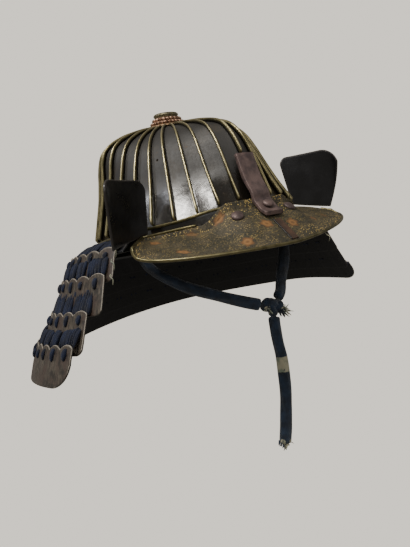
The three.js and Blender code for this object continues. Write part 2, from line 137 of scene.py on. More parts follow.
# Printed flowers: x and y on the flat leather, and how strongly each still shows.
FLOWERS = [(-110, 20, 0.8), (-101, 56, 0.95), (-70, 9, 0.5), (-43, 8, 0.95), (-44, 52, 1.0), (-13, 36, 0.95),
           (14, 41, 0.85), (57, 35, 0.4), (92, 46, 0.3), (40, 12, 0.4)]
SEAM_W, SEAM_T, SEAM_FROM, SEAM_TO = 9.0, 1.3, 0.54, 0.975
RIVET_CENTRE = {"at": (0, -139.7, -4.0), "axis": (0, -0.68, 0.73), "radius": 5.2, "tall": 3.2}
RIVET_SIDE = {"across": 0.2, "ahead": 0.32, "radius": 6, "tall": 3.4}
# A stitch runs between two depths under a lame's top edge, and a strand ends LACE_FOOT under it. The lacing
# keeps within the shares LACE_ENDS round a lame. An inner loop lies INNER_LOOP_UP above its lower edge.
STITCH_W, STITCH_T, STITCH_TOP, STITCH_LOW = 6.4, 4.2, 4.0, 15.0
LACE_T, LACE_FOOT, LACE_ENDS = 4.2, 4.0, (0.004, 0.996)
LOOP_W, LOOP_T, LOOP_HALF, INNER_LOOP_UP = 6.0, 3.0, 4.5, 15.0
# Loose threads: what they hang on, how far off, which way, how many, their reach, wear and random seed.
FRAYS = {
    "knot_pale_frays": {"on": "knot", "off": (7, -5, -3), "way": (0.9, -0.3, -0.5),
                        "count": 22, "reach": 13, "worn": 1, "seed": 31},
    "knot_side_frays": {"on": "knot", "off": (-9, -4, 0), "way": (-0.5, -0.6, -0.4),
                        "count": 12, "reach": 8, "worn": 1, "seed": 32},
    "knot_dark_frays": {"on": "knot", "off": (3, -6, -4), "way": (0.3, -0.5, -0.8),
                        "count": 16, "reach": 10, "worn": 0, "seed": 33},
    "tail_end_frays": {"on": "tail_end", "off": (0, 0, 3), "way": (0.1, 0, -1),
                       "count": 30, "reach": 8, "worn": 1, "seed": 34},
    "tail_end_dark_frays": {"on": "tail_end", "off": (-3, 0, 4), "way": (-0.3, 0, -1),
                            "count": 14, "reach": 8, "worn": 0, "seed": 35},
    "tail_middle_frays": {"on": "tail_middle", "off": (0, 0, 0), "way": (-0.8, -0.3, 0.35),
                          "count": 7, "reach": 8, "worn": 0, "seed": 36},
}

# Camera: turned and raised round the helmet and rolled, in degrees, then slid, in millimetres.
CAMERA = {"turn": -31.3, "rise": 1.7, "roll": -11.6, "distance": 637, "right": 14, "up": -58,
          "lens": 36.5923218}
# Lamps: place and aim, width and height, share of the key light's power, and colour.
LAMPS = {
    "key_window": {"at": (-690, -430, 1250), "to": (-40, -80, 20), "size": (560, 170),
                   "share": 1, "tint": "#FFFAF2"},
    "side_window": {"at": (-980, 350, 1020), "to": (0, 0, 20), "size": (170, 170),
                    "share": 0.17, "tint": "#F4F7FF"},
    "fill_window": {"at": (1100, -700, 700), "to": (0, 0, 0), "size": (900, 900),
                    "share": 0.055, "tint": "#F2F5FF"},
    "front_panel": {"at": (-500, -1300, 500), "to": (0, 0, 0), "size": (1000, 700),
                    "share": 0.21, "tint": "#FFFFFF"},
    "left_wall": {"at": (-1500, 420, 250), "to": (-80, 0, -40), "size": (700, 900),
                  "share": 0.045, "tint": "#FFFDF8"},
}
FLOOR_HALF, FLOOR_Z = 12000, -900


# Curves and arrays

def smooth(a, b, t):
    """Rises from 0 at a to 1 at b with level ends: 3s^2 - 2s^3."""
    s = np.clip((np.asarray(t, float) - a) / (b - a), 0, 1)
    return s * s * (3 - 2 * s)


def lerp(a, b, t):
    """A straight mix of a and b."""
    return a + (b - a) * t


def through(values, t):
    """Catmull-Rom curve through equally spaced values, t from 0 to 1; values are numbers or points."""
    v = np.asarray(values, float)
    v = np.concatenate([[2 * v[0] - v[1]], v, [2 * v[-1] - v[-2]]])
    n = len(v) - 3
    x = np.clip(np.asarray(t, float), 0, 1) * n
    i = np.minimum(x.astype(int), n - 1)
    u = x - i
    if v.ndim > 1:
        u = u[..., None]
    a, b, c, d = v[i], v[i + 1], v[i + 2], v[i + 3]
    return 0.5 * (2 * b + (c - a) * u + (2 * a - 5 * b + 4 * c - d) * u**2 + (3 * b - a - 3 * c + d) * u**3)


def xyz(x, y, z):
    """Three arrays of one shape as one array of points."""
    return np.stack(np.broadcast_arrays(x, y, z), -1).astype(float)


def unit(v):
    """Vectors at length 1."""
    return v / np.maximum(np.linalg.norm(v, axis=-1, keepdims=True), 1e-12)


def facing(points, ring=False):
    """Normals of a grid of points: the cross product of its two directions."""
    if ring:
        du = np.roll(points, -1, 0) - np.roll(points, 1, 0)
    else:
        du = np.gradient(points, axis=0)
    return unit(np.cross(du, np.gradient(points, axis=1)))


def round_edge(distance, radius):
    """Share of the full thickness at a distance from a rounded edge: a quarter circle, then 1."""
    near = np.clip(1 - distance / radius, 0, 1)
    return np.sqrt(1 - near**2)


def steps(count, length, radius):
    """Shares along a length: count even steps, and finer ones inside a radius at both ends to round
    them."""
    edge = np.array([0, 0.04, 0.18, 0.5, 1.0]) * radius / length
    return np.concatenate([edge, np.linspace(edge[-1], 1 - edge[-1], count + 1)[1:-1], 1 - edge[::-1]])


def run_along(points, axis=0):
    """Distance run over a line or grid of points from its first edge."""
    step = np.linalg.norm(np.diff(points, axis=axis), axis=-1)
    first = np.zeros_like(np.take(step, [0], axis))
    return np.concatenate([first, np.cumsum(step, axis)], axis)


def crowded(count):
    """Numbers from -1 to 1 that crowd towards both ends, as the sines of even angles do."""
    even = (np.linspace(0, 1, count) - 0.5) * math.radians(168)
    return np.sin(even) / math.sin(math.radians(84))


# Meshes

def lay_mesh(name, points, faces, uv=None, **values):
    """A mesh object at the origin from points in millimetres. uv is a pair per point, in millimetres,
    and each other value is a number per point, kept as an attribute of that name."""
    mesh = bpy.data.meshes.new(name)
    points = np.asarray(points, float).reshape(-1, 3) * MM
    faces = np.asarray(faces, np.int32)
    mesh.vertices.add(len(points))
    mesh.vertices.foreach_set("co", points.ravel())
    mesh.loops.add(faces.size)
    mesh.loops.foreach_set("vertex_index", faces.ravel())
    mesh.polygons.add(len(faces))
    mesh.polygons.foreach_set("loop_start", np.arange(0, faces.size, 4, dtype=np.int32))
    mesh.polygons.foreach_set("loop_total", np.full(len(faces), 4, np.int32))
    mesh.update(calc_edges=True)
    if uv is not None:
        layer = mesh.uv_layers.new(name="UVMap")
        flat = np.asarray(uv, float).reshape(-1, 2)[faces.ravel()] * MM
        layer.data.foreach_set("uv", flat.ravel())
    for key, value in values.items():
        attribute = mesh.attributes.new(key, "FLOAT", "POINT")
        attribute.data.foreach_set("value", np.asarray(value, np.float32).ravel())
    mesh.polygons.foreach_set("use_smooth", np.ones(len(faces), bool))
    made = bpy.data.objects.new(name, mesh)
    bpy.context.scene.collection.objects.link(made)
    return made


def quads(nu, nv, ring_u=False, ring_v=False):
    """Faces of an nu by nv grid of points, joined round where a way is a ring."""
    i = np.arange(nu if ring_u else nu - 1)[:, None]
    j = np.arange(nv if ring_v else nv - 1)[None, :]
    i2, j2 = (i + 1) % nu, (j + 1) % nv
    corners = [i * nv + j, i2 * nv + j, i2 * nv + j2, i * nv + j2]
    return np.stack([np.broadcast_to(c, (i.size, j.size)) for c in corners], -1).reshape(-1, 4)


def tidy_mesh(made):
    """Merges the points that meet at seams and poles, drops what has no area and turns the faces
    outwards."""
    work = bmesh.new()
    work.from_mesh(made.data)
    bmesh.ops.remove_doubles(work, verts=work.verts, dist=WELD * MM)
    bmesh.ops.dissolve_degenerate(work, edges=work.edges, dist=1e-7)
    bmesh.ops.recalc_face_normals(work, faces=work.faces)
    if work.calc_volume(signed=True) < 0:
        bmesh.ops.reverse_faces(work, faces=work.faces)
    work.to_mesh(made.data)
    work.free()
    made.data.polygons.foreach_set("use_smooth", np.ones(len(made.data.polygons), bool))
    return made


def plate(name, middle, thick, ring=False, uv=None, normal=None, **values):
    """A closed sheet round a grid of middle points: half its thickness along the normal on each side.
    The thickness falls to nothing at the edges, where the two sides meet."""
    n = facing(middle, ring) if normal is None else normal
    half = np.broadcast_to(thick, middle.shape[:2])[..., None] / 2
    points = np.concatenate([(middle + n * half).reshape(-1, 3), (middle - n * half).reshape(-1, 3)])
    nu, nv = middle.shape[:2]
    front = quads(nu, nv, ring)
    faces = np.concatenate([front, front[:, ::-1] + nu * nv])
    both = None if uv is None else np.concatenate([uv.reshape(-1, 2)] * 2)
    side = np.concatenate([np.ones(nu * nv), np.zeros(nu * nv)])
    values = {k: np.concatenate([np.broadcast_to(v, (nu, nv)).ravel()] * 2) for k, v in values.items()}
    return tidy_mesh(lay_mesh(name, points, faces, both, side=side, **values))


def sweep(name, centre, side, up, loop, ring=False, uv=None, **values):
    """A bar carried along centre: each point of the loop (x, y) lies at centre + side * x + up * y.
    Open ends are closed by repeating the end ring, drawn in to its centre with a small rounding."""
    loop = np.asarray(loop, float)
    if not ring:
        order = np.concatenate([[0, 0], np.arange(len(centre)), [len(centre) - 1] * 2])
        draw = np.concatenate([[0, 0.75], np.ones(len(centre)), [0.75, 0]])
        centre, side, up = centre[order], side[order] * draw[:, None], up[order] * draw[:, None]
        values = {k: np.broadcast_to(v, (len(order) - 4, len(loop)))[order] for k, v in values.items()}
    points = centre[:, None] + side[:, None] * loop[None, :, :1] + up[:, None] * loop[None, :, 1:]
    nu, nv = points.shape[:2]
    values = {k: np.broadcast_to(v, (nu, nv)).ravel() for k, v in values.items()}
    return tidy_mesh(lay_mesh(name, points, quads(nu, nv, ring, True), uv, **values))


def circle(count):
    """Points of a unit circle."""
    a = np.linspace(0, 2 * math.pi, count, endpoint=False)
    return np.stack([np.cos(a), np.sin(a)], -1)


def soft_box(count, square):
    """Points of a unit superellipse, |x|^n + |y|^n = 1, which is a box with rounded corners."""
    a = np.linspace(0, 2 * math.pi, count, endpoint=False) + math.pi / count
    c, s = np.cos(a), np.sin(a)
    return np.stack([np.sign(c) * np.abs(c) ** (2 / square), np.sign(s) * np.abs(s) ** (2 / square)], -1)


def dome(name, base, axis, radius, height):
    """A domed rivet head: rings of radius r * cos(a) at height h * (0.16 + 0.84 sin(a) ^ 0.9), over a small
    upright foot."""
    rings, sides = 10, 28
    axis = unit(np.asarray(axis, float))
    one = unit(np.cross(axis, [0.3, 1.0, 0.2]))
    two = np.cross(axis, one)
    a = np.linspace(0, math.pi / 2, rings)
    across = np.concatenate([[0, 0.97, 1.0], np.cos(a)]) * radius
    high = np.concatenate([[0, 0, 0.05], 0.16 + 0.84 * np.sin(a) ** 0.9]) * height
    ring = circle(sides)
    flat = ring[None, :, :1] * one + ring[None, :, 1:] * two
    points = np.asarray(base, float) + flat * across[:, None, None] + axis * high[:, None, None]
    return tidy_mesh(lay_mesh(name, points, quads(len(across), sides, False, True)))


# Shapes of the helmet, the same as the solids'

def from_front(angle):
    """Degrees round from the front, from 0 to 180."""
    return np.degrees(np.arccos(np.clip(np.cos(angle), -1, 1)))


def rim_rise(angle):
    """Height of the rim: 1 mm over the brow, falling smoothly to 3.2 mm under zero at the sides and
    back."""
    return 1 - 4.2 * smooth(20, 46, from_front(angle))


def rib_angle(k):
    """Angle of rib k: even steps less two sines, which crowd the ribs a little towards the front."""
    even = np.asarray(k) * 2 * math.pi / PLATES
    return even - math.radians(1.26) * np.sin(2 * even) - math.radians(0.65) * np.sin(4 * even)


def bowl_share(degrees, t):
    """Share of the rim's distance from the crown axis: a curve through each profile, mixed smoothly
    round."""
    tables = [through(p, t) for p in PROFILES]
    share = tables[0]
    for k in range(1, len(PROFILES)):
        low, high = PROFILE_ANGLES[k - 1], PROFILE_ANGLES[k]
        share = np.where(degrees > low, lerp(tables[k - 1], tables[k], smooth(low, high, degrees)), share)
    return share


def bowl_point(angle, t):
    """The bowl's outside: an oval of half widths RIM_X and reach, drawn in by the share, whose height is
    CROWN_Z * sin(t * 90 degrees) with the top leaning forward and the rim rising at the brow."""
    c, s, high = np.cos(angle), np.sin(angle), np.sin(np.asarray(t) * math.pi / 2)
    share = bowl_share(from_front(angle), t)
    y = CROWN_Y + share * (-np.where(c > 0, RIM_FRONT, RIM_BACK) * c - CROWN_Y)
    z = CROWN_Z * high + CROWN_LEAN * (y - CROWN_Y) * high**4 + rim_rise(angle) * (1 - smooth(0, 0.35, t))
    return xyz(-RIM_X * s * share, y, z)


def bowl_facing(angle, t):
    """Outward normal of the bowl, by small steps round and up."""
    e = 0.01
    up = bowl_point(angle, np.minimum(t + e, 1)) - bowl_point(angle, np.maximum(t - e, 0))
    return unit(np.cross(bowl_point(angle - e, t) - bowl_point(angle + e, t), up))


def rim_point(angle, out, z):
    """A point a distance out from the bowl's oval rim, at height z."""
    c, s = np.cos(angle), np.sin(angle)
    reach = np.where(c > 0, RIM_FRONT, RIM_BACK)
    n = unit(xyz(-s / RIM_X, -c / reach, 0 * c))
    return xyz(-RIM_X * s, -reach * c, z) + n * np.asarray(out)[..., None]


def bent_in(u):
    """How far the bent left half of the visor stands in: 2u^2 millimetres."""
    return 2 * np.clip(u, 0, None) ** 2


def visor_rear(u):
    """Rear edge of the visor: it hugs the base band, a few millimetres off it and high under the bar, then
    runs out to the tip. Only the wearer's left half is lifted by VISOR_REAR_LIFT and bent in."""
    a, side = np.abs(u), np.where(u < 0, -1.0, 1.0)
    high = 1 - smooth(0.2, 0.38, a)
    stand = 2.4 + 1.1 * (1 - smooth(0.36, 0.5, a)) + 1.2 * smooth(0.5, VISOR_HUG, a)
    turn = -side * math.radians(VISOR_TURN) * np.minimum(a, VISOR_HUG) / VISOR_HUG
    near = rim_point(turn, stand, lerp(VISOR_LOW, VISOR_HIGH, high))
    k = np.clip((a - VISOR_HUG) / (1 - VISOR_HUG), 0, 1)
    out = side * lerp(np.abs(near[..., 0]), VISOR_TIP[0] - 3, k**0.9)
    far = xyz(out, lerp(near[..., 1], VISOR_TIP[1] + 5, k), lerp(VISOR_LOW, VISOR_TIP[2] + 1, k))
    bend = xyz(-bent_in(u), np.zeros_like(a), through(VISOR_REAR_LIFT, u))
    return np.where((a <= VISOR_HUG)[..., None], near, far) + bend


VISOR_DEEP = VISOR_TIP[1] - VISOR_FRONT[1]
VISOR_R = (VISOR_TIP[0] ** 2 + VISOR_DEEP**2) / (2 * VISOR_DEEP)
VISOR_END = math.asin(VISOR_TIP[0] / VISOR_R)


def visor_front(u):
    """Front edge of the visor: seen from above an arc of a circle, which falls from the tips to the
    middle."""
    a = VISOR_END * u
    k = (np.cos(a) - math.cos(VISOR_END)) / (1 - math.cos(VISOR_END))
    right = lerp(VISOR_TIP[2], VISOR_FRONT[2], np.clip(k, 0, 1) ** 0.32)
    left = lerp(VISOR_FRONT[2], VISOR_TIP[2], np.clip(u, 0, 1) ** 1.25)
    across, ahead = VISOR_R * np.sin(a) - bent_in(u), VISOR_FRONT[1] + VISOR_R * (1 - np.cos(a))
    return xyz(across, ahead, np.where(u > 0, left, right))


def visor_point(u, v):
    """Middle surface of the visor: an upright flange to v VISOR_KNEE, then the peak, slightly arched."""
    u, v = np.broadcast_arrays(np.asarray(u, float), np.asarray(v, float))
    rear, front, a = visor_rear(u), visor_front(u), np.abs(u)
    knee = lerp(rear, front, 0.035)
    knee[..., 2] -= lerp(8, 0, smooth(0.2, 0.9, a)) * 0.85
    k = np.clip((v - VISOR_KNEE) / (1 - VISOR_KNEE), 0, 1)
    peak = lerp(knee, front, k[..., None])
    peak[..., 2] += 1.2 * np.sin(math.pi * k) * (1 - a * a)
    return np.where((v < VISOR_KNEE)[..., None], lerp(rear, knee, (v / VISOR_KNEE)[..., None]), peak)


def visor_facing(u, v):
    """Upper normal of the visor, by small steps."""
    e = 0.015
    out = visor_point(u, np.minimum(v + e, 1)) - visor_point(u, np.maximum(v - e, 0))
    across = visor_point(np.minimum(u + e, 1), v) - visor_point(np.maximum(u - e, -1), v)
    return unit(np.cross(out, across))


def flap_point(flap, a, b):
    """Middle surface of a side flap: a four-cornered patch with rounded top corners, which bulges and
    whose outer edge bows out."""
    inner_low, outer_low, inner_high, outer_high = [np.array(c, float) for c in flap["corners"]]
    low, high = lerp(inner_low, outer_low, a[..., None]), lerp(inner_high, outer_high, a[..., None])
    edge = np.minimum(a, 1 - a) * np.linalg.norm(inner_high - outer_high)
    corner = np.where(a < 0.5, flap["inner_round"], flap["outer_round"])
    high[..., 2] -= corner - np.sqrt(corner**2 - np.clip(corner - edge, 0, None) ** 2)
    bulge = FLAP_BULGE * 4 * a * (1 - a)
    p = lerp(low, high, b[..., None]) + bulge[..., None] * np.array([0.45, 0.89, 0])
    p[..., 0] = flap["side"] * (p[..., 0] + flap["bow"] * a * a * np.sin(math.pi * b))
    return p


def lame_point(row, s, v, out=0.0):
    """A lame of the neck guard: out and z from its tables down the lame, carried round the rim, with
    rounded lower corners at its two front ends. It hangs lower on the wearer's right, where the lacing is
    loose, and its left front end droops."""
    s, v = np.broadcast_arrays(np.asarray(s, float), np.asarray(v, float))
    start = math.radians(row["from"])
    angle = lerp(start, 2 * math.pi - start, s)
    loose = 1 - smooth(*np.radians(TIGHTENS), angle)
    droop = row["droop"] * smooth(*np.radians(DROOPS), angle)
    tight_row, loose_row = np.array(row["tight"], float), np.array(row["loose"], float)

    def at(k, t):
        return lerp(through(tight_row[:, k], t), through(loose_row[:, k], t), loose)

    zero, one = np.zeros_like(s), np.ones_like(s)
    run, drop = at(0, one) - at(0, zero), at(1, one) - at(1, zero)
    tall = np.hypot(run, drop)
    near = np.clip(row["corner"] - np.minimum(s, 1 - s) * LAME_LONG, 0, None)
    t = v * (1 - (row["corner"] - np.sqrt(np.maximum(row["corner"] ** 2 - near**2, 0))) / tall)
    out = np.asarray(out, float)
    return rim_point(angle, at(0, t) - drop / tall * out, at(1, t) + run / tall * out - droop)


def girth(row):
    """Length round a lame along its middle line, and the share that it lies at, at 400 points."""
    s = np.linspace(0, 1, 400)
    return run_along(lame_point(row, s, 0.4)), s


# Materials

def colour(code):
    """An sRGB hex value as linear red, green, blue and alpha."""
    s = np.array([int(code[i:i + 2], 16) for i in (1, 3, 5)]) / 255
    linear = np.where(s <= 0.04045, s / 12.92, ((s + 0.055) / 1.055) ** 2.4)
    return (*[float(x) for x in linear], 1.0)


# Stripes to one unit of the wave texture's scale.
WAVE_BANDS = 3.2
# Kinds of node: Blender's type, its own settings, the sockets that take its values in order, and its output.
KINDS = {
    "where": ("TexCoord", {}, (), "Object"),
    "flat": ("TexCoord", {}, (), "UV"),
    "kept": ("Attribute", {}, (), "Fac"),
    "camera ray": ("LightPath", {}, (), "Is Camera Ray"),
    "height": ("SeparateXYZ", {}, (0,), "Z"),
    "distance": ("VectorMath", {"operation": "DISTANCE"}, (0, 1), "Value"),
    "stretch": ("Mapping", {}, ("Vector", "Scale"), 0),
    "times": ("Math", {"operation": "MULTIPLY"}, (0, 1), 0),
    "plus": ("Math", {"operation": "ADD"}, (0, 1), 0),
    "minus": ("Math", {"operation": "SUBTRACT"}, (0, 1), 0),
    "mix": ("Mix", {"data_type": "RGBA"}, (0, 6, 7), 2),
    "range": ("MapRange", {"interpolation_type": "SMOOTHSTEP"},
              ("Value", "From Min", "From Max", "To Min", "To Max"), 0),
    "noise": ("TexNoise", {}, ("Vector", "Scale", "Detail", "Roughness"), 0),
    "cells": ("TexVoronoi", {"feature": "F1"}, ("Vector", "Scale", "Randomness"), "Distance"),
    "stripes": ("TexWave", {"wave_type": "BANDS"}, ("Vector", "Scale", "Distortion", "Detail"), 1),
    "relief": ("Bump", {}, ("Height", "Distance", "Strength"), 0),
}


def node(tree, kind, *values, **settings):
    """Adds one node of a kind, puts each value on its socket, as a link where it is another node's output,
    and returns the node's output. settings are attributes of the node besides the kind's own."""
    type_name, own, sockets, output = KINDS[kind]
    made = tree.nodes.new("ShaderNode" + type_name)
    for key, value in {**own, **settings}.items():
        setattr(made, key, value)
    for socket, value in zip(sockets, values):
        if isinstance(value, bpy.types.NodeSocket):
            tree.links.new(value, made.inputs[socket])
        else:
            made.inputs[socket].default_value = value
    return made.outputs[output]


def every(size_mm):
    """Scale of a pattern that repeats about every size_mm."""
    return 1000.0 / size_mm


def start_material(name):
    """A new node material, a function that adds a node to it, and its shader."""
    made = bpy.data.materials.new(name)
    made.use_nodes = True
    return made, partial(node, made.node_tree), made.node_tree.nodes["Principled BSDF"]


def finish_material(made, shader, base, rough, height=None, deep_mm=0.1, strength=0.6):
    """Joins colour, roughness and relief to the shader; a plain value goes on the shader's own socket."""
    tree = made.node_tree
    for key, value in (("Base Color", base), ("Roughness", rough)):
        if isinstance(value, bpy.types.NodeSocket):
            tree.links.new(value, shader.inputs[key])
        else:
            shader.inputs[key].default_value = value
    if height is not None:
        relief = node(tree, "relief", height, deep_mm * MM, strength)
        tree.links.new(relief, shader.inputs["Normal"])


def seen_or_lit(tree, seen, lit):
    """Brightness of the paper to the eye, and a dimmer one for the light that it gives."""
    ray = node(tree, "camera ray")
    return node(tree, "plus", node(tree, "times", ray, seen - lit), lit)


def lacquered_iron():
    """Black urushi brushed on iron: a deep gloss low down, dulled by hands higher up, browned where it is
    worn, and no shine in two pinholes."""
    made, add, shader = start_material("black urushi lacquer on iron")
    where = add("where")
    broad, fine = add("noise", where, every(22), 4, 0.55), add("noise", where, every(2.6), 5, 0.65)
    wear = add("range", broad, 0.5, 0.7)
    chips = add("times", add("range", fine, 0.6, 0.7), add("range", broad, 0.42, 0.62))
    base = add("mix", add("times", wear, 0.6), colour("#15120E"), colour("#2C261B"))
    base = add("mix", chips, base, colour("#463526"))
    shine = 0.6
    for point in PINHOLES:
        middle = [c * MM for c in point]
        away = add("distance", where, middle)
        shine = add("times", add("range", away, PINHOLE_R * MM, (PINHOLE_R + PINHOLE_EDGE) * MM), shine)
    made.node_tree.links.new(shine, shader.inputs["Specular IOR Level"])
    height = add("height", where)
    rubbed = add("plus", height, add("times", add("minus", broad, 0.5), 14 * MM))
    dull = add("range", rubbed, 22 * MM, 48 * MM, 0.0, 0.42)
    cloud = add("times", add("noise", where, every(12), 3, 0.55), 0.12)
    rough = add("plus", add("plus", add("range", fine, 0.35, 0.8, 0.1, 0.2), cloud), dull)
    wave = add("plus", add("noise", where, every(16), 2, 0.5), add("times", fine, 0.08))
    finish_material(made, shader, base, rough, wave, 0.8, 0.4)
    shader.inputs["IOR"].default_value = 1.54
    return made


def edging_brass():
    """Old brass edging: a thin rolled strip, olive where tarnished, with painted shade, near black, low on a
    rib's sides, and a painted pale cream highlight along its top.
    """
    made, add, shader = start_material("tarnished rolled brass edging")
    where = add("where")
    spots, fine = add("noise", where, every(14), 4, 0.55), add("noise", where, every(2.4), 4, 0.7)
    base = add("mix", add("range", spots, 0.38, 0.66), colour("#797152"), colour("#555037"))
    base = add("mix", add("range", fine, 0.56, 0.74, 0, 0.6), base, colour("#3E3728"))
    high = add("kept", attribute_name="high")
    # Painted shade: near black low in a rib's section, where the kept height is under 0.62.
    base = add("mix", add("range", high, 0.1, 0.62), colour("#100D0A"), base)
    # Painted highlight: pale cream along the top of the section, where the kept height is over 0.9.
    base = add("mix", add("times", add("range", high, 0.9, 0.99), 0.6), base, colour("#C4B98F"))
    finish_material(made, shader, base, add("range", fine, 0.3, 0.75, 0.3, 0.5), fine, 0.12, 0.5)
    shader.inputs["Metallic"].default_value = 0.85
    return made


def copper(name, light, dark, size):
    """Copper or bronze with a brown patina, in blotches of size millimetres, brighter on what stands out:
    dark brown painted shade where it lies low, between the beads and towards the hole.
    """
    made, add, shader = start_material(name)
    where = add("where")
    spots, fine = add("noise", where, every(size), 4, 0.55), add("noise", where, every(1.6), 3, 0.6)
    base = add("mix", add("range", spots, 0.35, 0.68), colour(light), colour(dark))
    # Painted shade: dark brown where the kept height is low.
    base = add("mix", add("range", add("kept", attribute_name="high"), 0.15, 0.75), colour("#2A1710"), base)
    finish_material(made, shader, base, add("range", fine, 0.3, 0.7, 0.34, 0.55), fine, 0.15, 0.5)
    shader.inputs["Metallic"].default_value = 0.75
    return made


def russet_iron():
    """Forged iron with a deliberate even rust, waxed: matte, finely pitted, red-brown to nearly black."""
    made, add, shader = start_material("russet forged iron")
    where = add("where")
    broad, fine = add("noise", where, every(10), 4, 0.55), add("noise", where, every(1.1), 4, 0.7)
    base = add("mix", add("range", broad, 0.35, 0.68), colour("#6A5854"), colour("#473B3B"))
    base = add("mix", add("range", fine, 0.58, 0.75), base, colour("#66524A"))
    finish_material(made, shader, base, add("range", fine, 0.3, 0.7, 0.42, 0.62), fine, 0.2, 0.7)
    shader.inputs["Metallic"].default_value = 0.35
    return made


def printed_leather():
    """Smoked deerskin with a resist print: olive-brown ground, gold dots and scrolls, orange-brown flowers,
    all rubbed away in places. The flower, scroll and border masks are worked out on the mesh."""
    made, add, shader = start_material("printed smoked deerskin")
    where, flat = add("where"), add("flat")
    broad, fine = add("noise", where, every(18), 4, 0.55), add("noise", where, every(1.3), 4, 0.7)
    ground = add("mix", add("range", broad, 0.36, 0.66), colour("#37352B"), colour("#4C4638"))
    ground = add("mix", add("range", fine, 0.5, 0.66, 0, 0.75), ground, colour("#1B1813"))
    dots = add("cells", flat, every(1.7), 0.8)
    dot = add("range", dots, 0.2, 0.42, 1, 0)
    rubbed = add("range", add("noise", where, every(6), 4, 0.55), 0.34, 0.56)
    gold = add("times", add("times", dot, add("kept", attribute_name="gilt")), rubbed)
    base = add("mix", gold, ground, colour("#D0B26A"))
    scroll = add("times", add("kept", attribute_name="scroll"), rubbed)
    base = add("mix", add("times", scroll, 0.5), base, colour("#8E7A48"))
    worn = add("range", fine, 0.28, 0.5, 0.35, 1.0)
    for mask, ink in (("flower", "#74502F"), ("heart", "#8F6A42")):
        print_left = add("times", add("kept", attribute_name=mask), worn)
        base = add("mix", add("times", print_left, 0.8), base, colour(ink))
    finish_material(made, shader, base, add("range", fine, 0.3, 0.7, 0.55, 0.75), fine, 0.22, 0.8)
    shader.inputs["Specular IOR Level"].default_value = 0.25
    return made


def brown_leather():
    """Oiled strip of cowhide, darker along one edge."""
    made, add, shader = start_material("oiled brown cowhide")
    where = add("where")
    broad, fine = add("noise", where, every(7), 3, 0.55), add("noise", where, every(0.9), 4, 0.7)
    base = add("mix", add("range", broad, 0.35, 0.68), colour("#4B3425"), colour("#34241A"))
    base = add("mix", add("range", add("kept", attribute_name="dark"), 0.4, 0.6), base, colour("#120C09"))
    finish_material(made, shader, base, 0.55, fine, 0.15, 0.6)
    return made


def lacquered_leather():
    """Rawhide under black lacquer: satin, lumpy at a few millimetres, with a painted brown-grey highlight
    along its edges.
    """
    made, add, shader = start_material("black lacquered rawhide")
    where = add("where")
    broad, fine = add("noise", where, every(20), 4, 0.55), add("noise", where, every(2.0), 5, 0.65)
    # Painted highlight: brown-grey over a band near the flap's edges, broken by fine noise.
    edge = add("range", add("plus", add("kept", attribute_name="edge"), add("times", fine, -0.5)), 0.35, 0.7)
    base = add("mix", add("range", broad, 0.45, 0.75, 0, 0.6), colour("#111114"), colour("#1D1D20"))
    base = add("mix", add("times", edge, 0.5), base, colour("#3C3733"))
    rough = add("range", broad, 0.3, 0.7, 0.26, 0.42)
    wave = add("plus", add("noise", where, every(7), 2, 0.55), add("times", fine, 0.3))
    finish_material(made, shader, base, rough, wave, 0.5, 0.4)
    return made


def lame_lacquer():
    """Lacquered rawhide scales, faded to taupe: streaked up and down, pale where the edges are rubbed bare,
    and on the inner face an even dark grey, its own black lacquer deepened as painted shade, rougher than
    the outer face."""
    made, add, shader = start_material("faded lacquer on rawhide scales")
    where, flat = add("where"), add("flat")
    long = add("stretch", flat, (1.0, 0.22, 1.0))
    broad, streak = add("noise", where, every(16), 4, 0.55), add("noise", long, every(2.6), 4, 0.6)
    fine = add("noise", where, every(1.4), 4, 0.7)
    base = add("mix", add("range", streak, 0.34, 0.66), colour("#282420"), colour("#544D43"))
    base = add("mix", add("range", broad, 0.42, 0.62), base, colour("#40352F"))
    stain = add("range", add("noise", where, every(9), 4, 0.55), 0.5, 0.7)
    base = add("mix", stain, base, colour("#26221F"))
    base = add("mix", add("range", fine, 0.6, 0.74, 0, 0.7), base, colour("#6E665A"))
    bare = add("times", add("kept", attribute_name="edge"), add("range", fine, 0.3, 0.55, 0.4, 0.9))
    base = add("mix", bare, base, colour("#9A9387"))
    # The inner face: an even dark grey, its own black lacquer deepened as painted shade.
    base = add("mix", add("range", add("kept", attribute_name="side"), 0.2, 0.6), colour("#18181A"), base)
    wave = add("plus", streak, add("times", fine, 0.5))
    rough = add("range", fine, 0.3, 0.7, 0.66, 0.85)
    rough = add("minus", rough, add("times", add("kept", attribute_name="side"), 0.3))
    finish_material(made, shader, base, rough, wave, 0.3, 0.6)
    return made


def indigo_braid():
    """Flat silk braid dyed with indigo: fine ribs along it, faded in patches, with hardly any sheen. The ribs
    are drawn 1.7 mm apart, coarser than real ones, so that they show."""
    made, add, shader = start_material("indigo silk braid")
    where, flat = add("where"), add("flat")
    ribs = add("stripes", flat, every(1.7) / WAVE_BANDS, 1.2, 2.0, bands_direction="X")
    fade, fine = add("noise", where, every(11), 4, 0.55), add("noise", where, every(1.2), 3, 0.7)
    base = add("mix", add("range", fade, 0.34, 0.68), colour("#080D1D"), colour("#121D38"))
    base = add("mix", add("range", fine, 0.6, 0.78, 0, 0.4), base, colour("#26314A"))
    base = add("mix", add("times", ribs, 0.3), base, colour("#060A16"))
    finish_material(made, shader, base, 0.78, add("plus", ribs, fine), 0.3, 0.8)
    shader.inputs["Sheen Weight"].default_value = 0.08
    shader.inputs["Specular IOR Level"].default_value = 0.25
    return made


